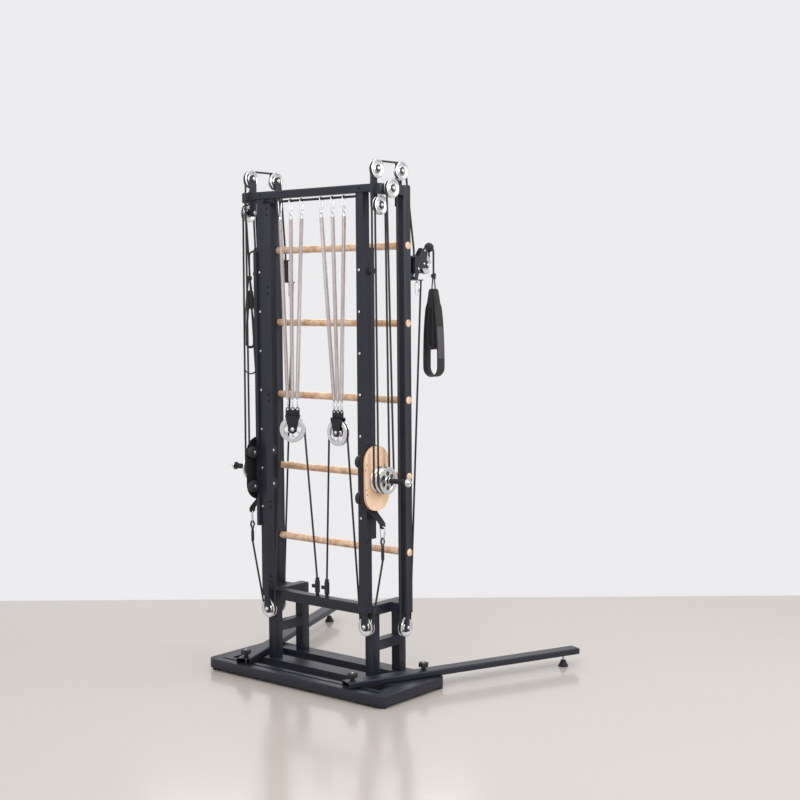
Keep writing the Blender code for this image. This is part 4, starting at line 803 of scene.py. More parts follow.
def repeat_sockets(name, inputs):
    """An empty Geometry Nodes group with its sockets; gives the tree, its input node and its output node."""
    tree = bpy.data.node_groups.new(name, "GeometryNodeTree")
    for label, kind in inputs:
        tree.interface.new_socket(label, in_out="INPUT", socket_type=f"NodeSocket{kind}")
    tree.interface.new_socket("Result", in_out="OUTPUT", socket_type="NodeSocketGeometry")
    return tree, tree.nodes.new("NodeGroupInput"), tree.nodes.new("NodeGroupOutput")


def realized(tree, geometry, given, result):
    """Ends a group with real geometry in its finish."""
    real = add_node(tree, "GeometryNodeRealizeInstances", None, {0: geometry}).outputs[0]
    dressed = add_node(tree, "GeometryNodeSetMaterial", None,
                       {"Geometry": real, "Material": given.outputs["Finish"]})
    tree.links.new(dressed.outputs[0], result.inputs[0])
    return tree


def repeat_tree(name):
    """Puts a head on each point, turned to face along the point's own direction."""
    sockets = (("Points", "Geometry"), ("Head", "Object"), ("Finish", "Material"))
    tree, given, result = repeat_sockets(name, sockets)
    info = add_node(tree, "GeometryNodeObjectInfo", None, {"Object": given.outputs["Head"]})
    facing = add_node(tree, "GeometryNodeInputNamedAttribute", {"data_type": "FLOAT_VECTOR"},
                      {"Name": "facing"})
    turn = add_node(tree, "FunctionNodeAlignEulerToVector", {"axis": "Z"}, {"Vector": facing.outputs[0]})
    heads = add_node(tree, "GeometryNodeInstanceOnPoints", None, {
        "Points": given.outputs["Points"], "Instance": info.outputs["Geometry"], "Rotation": turn.outputs[0],
    })
    return realized(tree, heads.outputs[0], given, result)


def coil_tree(name):
    """A helix tube of plain wire that rises from the origin."""
    tree, given, result = repeat_sockets(name, (
        ("Base", "Geometry"), ("Turns", "Float"), ("Radius", "Float"), ("Length", "Float"), ("Wire", "Float"),
        ("Finish", "Material")))
    spiral = add_node(tree, "GeometryNodeCurveSpiral", None, {
        "Resolution": 14, "Rotations": given.outputs["Turns"], "Start Radius": given.outputs["Radius"],
        "End Radius": given.outputs["Radius"], "Height": given.outputs["Length"],
    })
    half_wire = calc(tree, "MULTIPLY", given.outputs["Wire"], 0.5)
    ring = add_node(tree, "GeometryNodeCurvePrimitiveCircle", None, {"Resolution": 6, "Radius": half_wire})
    tube = add_node(tree, "GeometryNodeCurveToMesh", None,
                    {"Curve": spiral.outputs[0], "Profile Curve": ring.outputs[0], "Fill Caps": True})
    return realized(tree, tube.outputs[0], given, result)


def run_tree(item, maker, values):
    """Runs a Geometry Nodes tree on a piece and keeps the plain mesh."""
    tree = bpy.data.node_groups.get(maker.__name__) or maker(maker.__name__)
    modifier = item.modifiers.new("repeat", "NODES")
    modifier.node_group = tree
    for socket in tree.interface.items_tree:
        if socket.in_out == "INPUT" and socket.name in values:
            modifier[socket.identifier] = values[socket.name]
    return baked(item)


def head_object(profile, steps):
    """A head for the repeats, drawn up along Z."""
    bm = start_mesh()
    lathe(bm, profile, Matrix.Identity(4), steps)
    bmesh.ops.recalc_face_normals(bm, faces=bm.faces[:])
    mesh = bpy.data.meshes.new("head")
    bm.to_mesh(mesh)
    bm.free()
    mesh.shade_smooth()
    mesh.set_sharp_from_angle(angle=math.radians(35))
    head = bpy.data.objects.new("head", mesh)
    bpy.context.scene.collection.objects.link(head)
    return head


def scattered(name, places, profile, finish, body, steps=16):
    """One piece of many turned heads, from (point, direction) pairs."""
    mesh = bpy.data.meshes.new(name)
    mesh.from_pydata([tuple(point) for point, _ in places], [], [])
    facing = mesh.attributes.new("facing", "FLOAT_VECTOR", "POINT")
    for index, (_, direction) in enumerate(places):
        facing.data[index].vector = direction
    item = bpy.data.objects.new(name, mesh)
    bpy.context.scene.collection.objects.link(item)
    head = head_object(profile, steps)
    run_tree(item, repeat_tree, {"Head": head, "Finish": finish_of(finish)})
    bpy.data.objects.remove(head)
    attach(item, body)
    return item


def pan_head(radius, height):
    return [(0.0, radius), (height * 0.45, radius), (height * 0.8, radius * 0.82), (height, radius * 0.45),
            (height * 0.72, radius * 0.38), (height * 0.72, 0.0)]


def dome_nut(radius, height):
    points = [(0.0, radius), (height * 0.42, radius), (height * 0.46, radius * 0.84)]
    for step in range(1, 6):
        angle = math.radians(18 * step)
        points.append((height * 0.46 + height * 0.54 * math.sin(angle), radius * 0.84 * math.cos(angle)))
    return points[:-1] + [(height, 0.0)]


# Steel frames

class TOWER_OT_frames(bpy.types.Operator):
    """Finish the steel frames, keeping each CAD shape and rounding its edges"""
    bl_idname = "tower.frames"
    bl_label = "Steel frames"

    def execute(self, context):
        edge = context.scene.tower_sizes.edge_radius
        for node in ("base_frame", "stand_frame"):
            softened(node, "charcoal_coat", "tower", edge)
        softened("top_frame", "charcoal_coat", "tower", edge * 0.8, self.round_front_lugs)
        for word, _ in SIDES:
            softened(f"ladder_upright_{word}", "charcoal_coat", "tower", edge * 0.8, self.round_rear_lug)
            softened(f"outrigger_arm_{word}", "charcoal_coat", f"arm_{word}", edge * 0.4)
        return {"FINISHED"}

    def round_front_lugs(self, bm):
        round_lug(bm, UPRIGHT_MIDDLE, HIGH_FRONT[2], 1)
        round_lug(bm, UPRIGHT_MIDDLE, LOW[2], -1)

    def round_rear_lug(self, bm):
        round_lug(bm, RUNG_Y, HIGH_REAR[2], 1)


def round_lug(bm, middle, height, way, radius=LUG_RADIUS):
    """Gives a pulley plate's free end, above or below its bolt, a full round."""
    corners = [vert for vert in bm.verts
               if abs(vert.co.x) < LADDER_X[0] + 0.0010 and abs(vert.co.y - middle) < 0.024
               and abs(vert.co.z - height - way * 0.022) < 0.0005]
    for vert in corners:
        vert.co.y = middle + math.copysign(radius, vert.co.y - middle)
        vert.co.z = height + way * radius
    edges = [edge for edge in bm.edges
             if edge.verts[0] in corners and edge.verts[1] in corners
             and abs(edge.verts[0].co.y - edge.verts[1].co.y) < 0.0005
             and abs(edge.verts[0].co.x - edge.verts[1].co.x) > 0.004]
    bmesh.ops.bevel(bm, geom=edges, offset=radius * 0.97, segments=8, profile=0.5, affect="EDGES")


class TOWER_OT_front_uprights(bpy.types.Operator):
    """Build the two front uprights with forks, guide bars, stops and the spring bar"""
    bl_idname = "tower.front_uprights"
    bl_label = "Front uprights"

    def execute(self, context):
        bm = start_mesh()
        for _, side in SIDES:
            part = to_side(self.upright(), side)
            mesh = bpy.data.meshes.new("part")
            part.to_mesh(mesh)
            part.free()
            bm.from_mesh(mesh)
            bpy.data.meshes.remove(mesh)
        bar = place_on("X", (0.0, UPRIGHT_MIDDLE, SPRING_BAR_HEIGHT))
        lathe(bm, [(-UPRIGHT_X[0] - 0.0005, 0.005), (UPRIGHT_X[0] + 0.0005, 0.005)], bar, 16)
        edge = context.scene.tower_sizes.edge_radius * 0.8
        finished("front_uprights", bm, ["charcoal_coat", "soft_rubber"], "tower", ["front_frame"], edge)
        return {"FINISHED"}

    def upright(self):
        part = start_mesh()
        box_in(part, (UPRIGHT_X[0], UPRIGHT_Y[0], 0.316), (UPRIGHT_X[1], UPRIGHT_Y[1], BEAM_BOTTOM - 0.0003))
        box_in(part, (GUIDE_X[0] - 0.0008, GUIDE_Y[0], GUIDE_Z[0]), (GUIDE_X[1], GUIDE_Y[1], GUIDE_Z[1]))
        x, y, z = FRONT_FOOT
        fork = [(-LUG_RADIUS, 0.060), (LUG_RADIUS, 0.060)] + bottom_arc(0, 180, 0.0)
        for face in (y - 0.013, y + 0.0095):
            plate_in(part, fork, turned_at((x, face, z), 90, "X"), -0.0035, 0.0)
        tip = BOARD_X[1]
        stop = [(GUIDE_X[1] - 0.001, 0.0135), (tip - 0.004, 0.0135), (tip - 0.001, 0.0115), (tip, 0.007)]
        lathe(part, stop, place_on("X", (0.0, UPRIGHT_MIDDLE, STOP_HEIGHT)), 24, tag=1)
        return part


def bottom_arc(start, end, middle):
    """Points round the lower end of a fork or cheek, from right to left, angles below level in degrees."""
    return [(LUG_RADIUS * math.cos(math.radians(angle)), middle - LUG_RADIUS * math.sin(math.radians(angle)))
            for angle in range(start, end + 1, 15)]


class TOWER_OT_rungs(bpy.types.Operator):
    """Build the beech rungs with eased ends"""
    bl_idname = "tower.rungs"
    bl_label = "Rungs"

    def execute(self, context):
        for index, height in enumerate(RUNG_HEIGHTS):
            bm = start_mesh()
            end = -RUNG_HALF_LENGTH
            profile = [(end, 0.0), (end, RUNG_RADIUS - 0.0013), (end + 0.0005, RUNG_RADIUS - 0.0005),
                       (end + 0.0017, RUNG_RADIUS)]
            profile += [(x, RUNG_RADIUS) for x in (-0.30, -0.15, 0.0, 0.15, 0.30)]
            profile += [(-along, radius) for along, radius in reversed(profile[:4])]
            lathe(bm, profile, place_on("X", (0.0, RUNG_Y, height)), 40)
            finished(f"rung_{index + 1}_turned", bm, ["lacquered_beech"], "tower", [f"rung_{index + 1}"])
        return {"FINISHED"}


class TOWER_OT_fasteners(bpy.types.Operator):
    """Scatter the screws, near-black discs of painted shade in the holes, bolt caps and board screws"""
    bl_idname = "tower.fasteners"
    bl_label = "Fasteners"

    def execute(self, context):
        self.screws_and_holes(context.scene.tower_sizes.screw_diameter / 2)
        self.lug_bolts()
        self.pulley_caps()
        self.board_screws()
        return {"FINISHED"}

    def screws_and_holes(self, radius):
        front = UPRIGHT_Y[0] - SKIN
        screws = []
        holes = []
        for word, side in SIDES:
            for step in range(7):
                spot = (side * SCREW_COLUMN[word], front, SCREW_START + SCREW_PITCH * step)
                screws.append((spot, (0, -1, 0)))
            holes.append(((side * FRONT_FOOT[0], front, BEAM_BOTTOM + 0.016), (0, -1, 0)))
            for height in SIDE_HOLE_HEIGHTS:
                holes.append(((side * (UPRIGHT_X[0] - SKIN), UPRIGHT_MIDDLE, height), (-side, 0, 0)))
            for y in (-0.3207, -0.1587):
                for height in (0.080, 0.300):
                    holes.append(((side * LEG_FACE, y, height), (side, 0, 0)))
        scattered("frame_screws", screws, pan_head(radius, 0.0022), "bright_zinc", "tower")
        # Thin near-black discs at the hole mouths: painted shade for the inside of the tubes
        disc = [(0.0, 0.0056), (0.0003, 0.0056), (0.0004, 0.0040), (SKIN, 0.0)]
        scattered("frame_holes", holes, disc, "deep_hole", "tower")

    def lug_bolts(self):
        """A washer and a dome nut on the inner face of each pulley plate."""
        inner = LADDER_X[0] - 0.0062
        places = [(side, centre[1:]) for _, side in SIDES for centre in (HIGH_FRONT, HIGH_REAR, LOW)]
        washers = [((side * inner, *spot), (-side, 0, 0)) for side, spot in places]
        nuts = [((side * (inner - 0.0018), *spot), (-side, 0, 0)) for side, spot in places]
        washer = [(0.0, 0.0135), (0.0012, 0.0135), (0.0018, 0.0125), (0.0018, 0.0)]
        scattered("lug_washers", washers, washer, "black_plastic", "tower", 28)
        scattered("lug_nuts", nuts, dome_nut(0.0086, 0.0075), "bright_zinc", "tower", 20)

    def pulley_caps(self):
        caps = []
        for _, side in SIDES:
            for (x, y, z), reach in ((HIGH_FRONT, 0.0081), (HIGH_REAR, 0.0081), (LOW, 0.0081), (SIDE, 0.0081),
                                     (REAR_FOOT, 0.0122)):
                caps.append(((side * (x + reach), y, z), (side, 0, 0)))
            x, y, z = FRONT_FOOT
            for way in (-1, 1):
                caps.append(((side * x, y + way * 0.0127, z), (0, way, 0)))
        scattered("pulley_caps", caps, dome_nut(0.0094, 0.0085), "bright_zinc", "tower", 20)

    def board_screws(self):
        spots = ((-0.050, 0.058), (-0.056, 0.038), (-0.056, -0.038), (-0.050, -0.058), (0.054, 0.048),
                 (0.054, -0.048))
        for word, side in SIDES:
            face = side * (BOARD_X[1] + SKIN)
            places = [((face, BOARD_CENTRE[0] + y, BOARD_CENTRE[1] + z), (side, 0, 0)) for y, z in spots]
            scattered(f"board_screws_{word}", places, pan_head(0.0027, 0.0008), "black_plastic",
                      f"carriage_{word}")


# Pulleys

def pulley_profile(half, rim, floor, hub, bore):
    """The closed profile of a grooved wheel with dished faces."""
    flat = 0.0042
    one = [(-flat, floor), (-half + 0.0022, rim - 0.0016), (-half + 0.0012, rim),
           (-half + 0.0003, rim - 0.0006), (-half, rim - 0.0016), (-half, rim - 0.0046),
           (-half + 0.0012, rim - 0.0052), (-half + 0.0012, rim - 0.0062), (-half + 0.0004, rim - 0.0068),
           (-half + 0.0030, rim - 0.0135), (-half + 0.0032, hub + 0.0022), (-half + 0.0006, hub),
           (-half, hub - 0.0005), (-half, bore)]
    return one + [(-along, radius) for along, radius in reversed(one)]


def wheel_mesh(bm, place, half=0.008, rim=0.0368, floor=0.0255, hub=0.0172, bore=0.0060):
    lathe(bm, pulley_profile(half, rim, floor, hub, bore), place, 48, True)
    for way in (-1, 1):
        seal = [(way * (half + 0.0003), 0.0090), (way * (half + 0.0003), 0.0150),
                (way * (half - 0.001), 0.0156), (way * (half - 0.001), 0.0090)]
        lathe(bm, seal, place, 32, True, tag=1)
    return bm


class TOWER_OT_pulleys(bpy.types.Operator):
    """Build the small turned pulleys with their dark bearing seals"""
    bl_idname = "tower.pulleys"
    bl_label = "Small pulleys"

    def execute(self, context):
        places = {
            "pulley_high_front": ("X", HIGH_FRONT), "pulley_high_rear": ("X", HIGH_REAR),
            "pulley_low": ("X", LOW), "pulley_side": ("X", SIDE),
            "pulley_rear_foot": ("X", REAR_FOOT), "pulley_front_foot": ("Y", FRONT_FOOT),
        }
        for word, side in SIDES:
            for name, (axis, centre) in places.items():
                bm = wheel_mesh(start_mesh(), place_on(axis, centre))
                node = f"{name}_{word}"
                finished(f"{node}_turned", bm, ["polished_steel", "black_plastic"], node, [node], side=side)
        return {"FINISHED"}


def windowed_disc(bm, place, low, high, inner, outer, window, ring, count, tag=0):
    outline = circle(0.0, 0.0, outer, 64)
    holes = [(0.0, 0.0, inner)] + [(x, y, window) for x, y in circle(0.0, 0.0, ring, count)]
    return plate_in(bm, outline, place, low, high, holes, tag)


class TOWER_OT_drums(bpy.types.Operator):
    """Build the two-groove rope drums"""
    bl_idname = "tower.drums"
    bl_label = "Rope drums"

    def execute(self, context):
        for word, side in SIDES:
            place = place_on("X", DRUM_CENTRE)
            bm = start_mesh()
            rim = 0.0528
            core = 0.0424
            tyre = [(-0.0240, 0.0400), (-0.0240, rim - 0.0012), (-0.0228, rim), (-0.0212, rim - 0.0010),
                    (-0.0155, core), (-0.0070, core), (-0.0014, rim - 0.0010), (0.0, rim),
                    (0.0014, rim - 0.0010), (0.0070, core), (0.0155, core), (0.0212, rim - 0.0010),
                    (0.0228, rim), (0.0240, rim - 0.0012), (0.0240, 0.0436), (0.0228, 0.0424),
                    (0.0228, 0.0410), (0.0200, 0.0400)]
            lathe(bm, tyre, place, 64, True)
            windowed_disc(bm, place, 0.0150, 0.0190, 0.012, 0.0404, 0.0096, 0.0275, 6)
            hub = [(-0.0238, 0.0092), (-0.0238, 0.0162), (0.0190, 0.0168), (0.0226, 0.0156), (0.0238, 0.0140),
                   (0.0238, 0.0092)]
            lathe(bm, hub, place, 40, True)
            seal = [(0.0232, 0.0093), (0.0232, 0.0132), (0.0243, 0.0128), (0.0243, 0.0093)]
            lathe(bm, seal, place, 40, True, tag=1)
            finished(f"rope_drum_{word}_turned", bm, ["polished_steel", "black_plastic"], f"drum_{word}",
                     [f"rope_drum_{word}"], side=side)
        return {"FINISHED"}


# Carriages

class TOWER_OT_carriages(bpy.types.Operator):
    """Build the carriages: steel plate, rollers, birch board, grip and hook"""
    bl_idname = "tower.carriages"
    bl_label = "Carriages"

    def execute(self, context):
        for word, side in SIDES:
            body = f"carriage_{word}"
            self.steel(word, side, body)
            self.board(word, side, body)
            self.rollers(word, side, body)
            self.grip(word, side, body)
            self.hook(word, side, body)
        return {"FINISHED"}

    def steel(self, word, side, body):
        bm = start_mesh()
        plate_in(bm, rounded_outline(0.151, 0.260, 0.066), place_flat_x(BOARD_CENTRE), STEEL_X[0], STEEL_X[1])
        low = BOARD_CENTRE[1] - 0.130
        tip = HOOK_HOLE - 0.0130
        tab = [(y - 0.002, z - 0.1365) for y, z in rounded_outline(0.0440, 0.0420, 0.0080, 4)]
        plate_in(bm, tab, place_flat_x(BOARD_CENTRE), STEEL_X[0] - 0.0002, STEEL_X[1] - 0.0002)
        hang = HOOK_X - 0.002
        path = [(STEEL_X[0], low + 0.030, 0.0270), (STEEL_X[0], low + 0.002, 0.0240),
                (0.3110, low - 0.006, 0.0215), (HOOK_X - 0.013, low - 0.032, 0.0170),
                (hang, low - 0.045, 0.0162), (hang, tip + 0.0090, 0.0160), (hang, tip + 0.0030, 0.0115),
                (hang, tip, 0.0040)]
        rows = []
        for index, (x, z, half) in enumerate(path):
            before = Vector(path[max(index - 1, 0)][:2])
            after = Vector(path[min(index + 1, len(path) - 1)][:2])
            along = (after - before).normalized()
            front = Vector((x, z)) + Vector((-along.y, along.x)) * 0.004
            rows.append([bm.verts.new(spot) for spot in (
                (x, UPRIGHT_MIDDLE - half, z), (x, UPRIGHT_MIDDLE + half, z),
                (front.x, UPRIGHT_MIDDLE + half, front.y), (front.x, UPRIGHT_MIDDLE - half, front.y))])
        for first, second in zip(rows, rows[1:]):
            for i in range(4):
                bm.faces.new((first[i], first[(i + 1) % 4], second[(i + 1) % 4], second[i]))
        bm.faces.new(rows[0][::-1])
        bm.faces.new(rows[-1])
        finished(f"carriage_steel_{word}", bm, ["black_plate"], body, [f"carriage_plate_{word}"], 0.0008,
                 side=side)

    def board(self, word, side, body):
        bm = start_mesh()
        upright = place_flat_x(BOARD_CENTRE)
        hole = (DRUM_CENTRE[1] - BOARD_CENTRE[0], DRUM_CENTRE[2] - BOARD_CENTRE[1], 0.0086)
        outline = [(y + 0.0125, z) for y, z in rounded_outline(0.1380, 0.2510, 0.0620, 16)]
        plate_in(bm, outline, upright, *BOARD_X, [hole])
        finished(f"carriage_board_{word}_ply", bm, ["birch_ply"], body, [f"carriage_board_{word}"], 0.0016,
                 side=side)

    def rollers(self, word, side, body):
        bm = start_mesh()
        for y in ROLLER_Y:
            for z in ROLLER_Z:
                place = place_on("X", (ROLLER_X, y, z))
                tread = [(-0.010, 0.0), (-0.010, 0.0225), (-0.0085, 0.0245), (-0.006, 0.0249),
                         (0.006, 0.0249), (0.0085, 0.0245), (0.010, 0.0225), (0.010, 0.0)]
                lathe(bm, tread, place, 40)
                hub = [(-0.0136, 0.0), (-0.0136, 0.0050), (-0.0128, 0.0064), (-0.0098, 0.0068),
                       (-0.0098, 0.0)]
                lathe(bm, hub, place, 6, tag=1)
                stem = [(0.0098, 0.0), (0.0098, 0.0068), (0.0132, 0.0068), (0.0132, 0.0)]
                lathe(bm, stem, place, 20, tag=1)
                for way in (-1, 1):
                    ring = [(way * 0.0100, 0.0120), (way * 0.0106, 0.0125), (way * 0.0106, 0.0180),
                            (way * 0.0100, 0.0185)]
                    lathe(bm, ring, place, 32, True)
        finished(f"carriage_rollers_{word}", bm, ["black_plastic", "bright_zinc"], body, side=side)

    def grip(self, word, side, body):
        bm = start_mesh()
        place = place_on("X", (0.0, DRUM_CENTRE[1], DRUM_CENTRE[2]))
        start = DRUM_CENTRE[0] + 0.0245
        lathe(bm, [(STEEL_X[1], 0.0), (STEEL_X[1], 0.0079), (start + 0.001, 0.0079), (start + 0.001, 0.0)],
              place, 24, tag=1)
        collar = [(start, 0.0), (start, 0.0125), (start + 0.006, 0.0125), (start + 0.008, 0.0110),
                  (start + 0.008, 0.0)]
        lathe(bm, collar, place, 32, tag=1)
        ring = [(start + 0.0062, 0.0122), (start + 0.0085, 0.0122), (start + 0.0090, 0.0112),
                (start + 0.0062, 0.0100)]
        lathe(bm, ring, place, 32, True, tag=2)
        sleeve = [(start + 0.008, 0.0), (start + 0.008, 0.0075), (start + 0.010, 0.0086)]
        for step in range(1, 12):
            sleeve.append((start + 0.010 + step * 0.0066, 0.0086 + 0.00022 * step + 0.0002 * (step % 2)))
        sleeve += [(start + 0.090, 0.0111), (start + 0.092, 0.0097), (start + 0.092, 0.0)]
        lathe(bm, sleeve, place, 32, tag=0)
        end = start + 0.092
        washer = [(end, 0.0), (end, 0.0162), (end + 0.0012, 0.0172), (end + 0.0045, 0.0172),
                  (end + 0.006, 0.0158), (end + 0.0052, 0.0148), (end + 0.0052, 0.0110),
                  (end + 0.009, 0.0095), (end + 0.0100, 0.0)]
        lathe(bm, washer, place, 40, tag=2)
        lathe(bm, [(end + 0.008, 0.0), (end + 0.008, 0.0049), (end + 0.0245, 0.0049), (end + 0.026, 0.0038),
                   (end + 0.026, 0.0)], place, 20, tag=2)
        finished(f"carriage_grip_{word}", bm, ["foam_grip", "black_plate", "polished_steel"], body, side=side)

    def hook(self, word, side, body):
        bm = start_mesh()
        top = HOOK_HOLE - 0.0045 + 0.0012
        snap_hook(bm, turned_at((HOOK_X, UPRIGHT_MIDDLE, top), 35, "Z"), CLIP_LENGTH, 0.0235, 0.0046)
        for way in (-1, 1):
            y = UPRIGHT_MIDDLE + way * HOOK_BOLT[0]
            bolt = place_on("X", (STEEL_X[1] + 0.0006, y, HOOK_BOLT[1]))
            lathe(bm, [(-0.003, 0.0), (-0.003, 0.0048), (0.0016, 0.0048), (0.0032, 0.0032), (0.0032, 0.0)],
                  bolt, 16, tag=1)
        finished(f"carriage_snap_hook_{word}", bm, ["bright_zinc", "black_plastic"], body, side=side)
        bm = start_mesh()
        eye_top = top - CLIP_LENGTH + 0.0048
        loop = []
        for step in range(24):
            angle = 2 * math.pi * step / 24
            pinch = 0.0098 * math.cos(angle) * (1.0 if math.sin(angle) > -0.2 else 0.62)
            loop.append((HOOK_X, UPRIGHT_MIDDLE + pinch, eye_top - 0.0165 + 0.0165 * math.sin(angle)))
        sweep(bm, loop, 0.0036, 12, True)
        splice = [(-0.0005, 0.0040), (0.0020, 0.0060), (0.0180, 0.0066), (0.0400, 0.0062), (0.0510, 0.0050),
                  (0.0548, 0.0030)]
        lathe(bm, splice, place_on("Z", (HOOK_X, UPRIGHT_MIDDLE, EYE_SPLICE)), 20)
        finished(f"carriage_rope_eye_{word}", bm, ["braided_rope"], body, side=side)
        bm = start_mesh()
        lining = [(x, UPRIGHT_MIDDLE + (y - UPRIGHT_MIDDLE) * 0.58,
                   eye_top - 0.0165 + (z - eye_top + 0.0165) * 0.74)
                  for x, y, z in loop]
        sweep(bm, lining, 0.0017, 10, True)
        finished(f"carriage_thimble_{word}", bm, ["bright_zinc"], body, side=side)


def snap_hook(bm, place, length, width, wire, tag=0):
    """A pear-shaped snap hook that hangs in local XZ from its top point."""
    points = []
    top_radius = width * 0.5 - wire * 0.5
    low_radius = width * 0.27
    for step in range(9):
        angle = math.radians(180 * step / 8)
        points.append((top_radius * math.cos(angle), 0.0, -top_radius + top_radius * math.sin(angle)))
    for step in range(13):
        angle = math.radians(180 + 180 * step / 12)
        points.append((low_radius * math.cos(angle), 0.0,
                       -length + low_radius + low_radius * math.sin(angle)))
    sweep(bm, [place @ Vector(point) for point in points], wire / 2, 12, True, tag)
    start = Vector((top_radius, 0.0, -top_radius - 0.1 * length))
    end = Vector((low_radius, 0.0, -length + low_radius + 0.12 * length))
    gate = [place @ start.lerp(end, share) for share in (0.0, 0.08, 0.5, 0.92, 1.0)]
    sweep(bm, gate, [wire * 0.42, wire * 0.62, wire * 0.66, wire * 0.62, wire * 0.42], 12, False, tag)
    return bm


# Springs and yokes

def yoke_matrix(word):
    return turned_at(YOKE_AXIS, -YOKE_TURN[word], "Z")


class TOWER_OT_springs(bpy.types.Operator):
    """Build the six close-wound springs, and their upper snap hooks and sockets"""
    bl_idname = "tower.springs"
    bl_label = "Springs"

    def execute(self, context):
        sizes = context.scene.tower_sizes
        socket = [(-0.0040, 0.0), (-0.0040, 0.0045), (-0.0002, 0.0046), (0.0, 0.0066), (0.0060, 0.0068),
                  (0.0090, 0.0055), (0.0130, 0.0030), (0.0140, 0.0)]
        for word, side in SIDES:
            hooks = start_mesh()
            for index, label in enumerate(("inner", "middle", "outer")):
                ear = yoke_matrix(word) @ Vector(((index - 1) * EAR_PITCH, 0.0, 0.0))
                top = Vector((side * SPRING_TOPS[index], UPRIGHT_MIDDLE, SPRING_TOP - SPRING_LAP))
                low = Vector((side * ear.x, ear.y, SPRING_LOW + SPRING_LAP))
                name = f"spring_{label}_{word}"
                item = bpy.data.objects.new(f"{name}_coil", bpy.data.meshes.new(f"{name}_coil"))
                bpy.context.scene.collection.objects.link(item)
                run_tree(item, coil_tree, {
                    "Turns": float(sizes.coil_turns), "Radius": (sizes.coil_diameter - sizes.coil_wire) / 2,
                    "Length": (top - low).length, "Wire": sizes.coil_wire, "Finish": finish_of("coil_wire"),
                })
                turn = Vector((0.0, 0.0, 1.0)).rotation_difference(top - low).to_matrix().to_4x4()
                item.data.transform(Matrix.Translation(low) @ turn)
                item.data.shade_smooth()
                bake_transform(item)
                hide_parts(name)
                hook_top = (SPRING_TOPS[index], UPRIGHT_MIDDLE, SPRING_BAR_HEIGHT + 0.0064)
                snap_hook(hooks, turned_at(hook_top, 90, "Z"), 0.064, 0.0225, 0.0046)
                plug = (SPRING_TOPS[index], UPRIGHT_MIDDLE, SPRING_TOP)
                lathe(hooks, socket, place_on("Z", plug), 20)
            to_side(hooks, side)
            finished(f"spring_top_hooks_{word}", hooks, ["bright_zinc"], "tower")
        return {"FINISHED"}


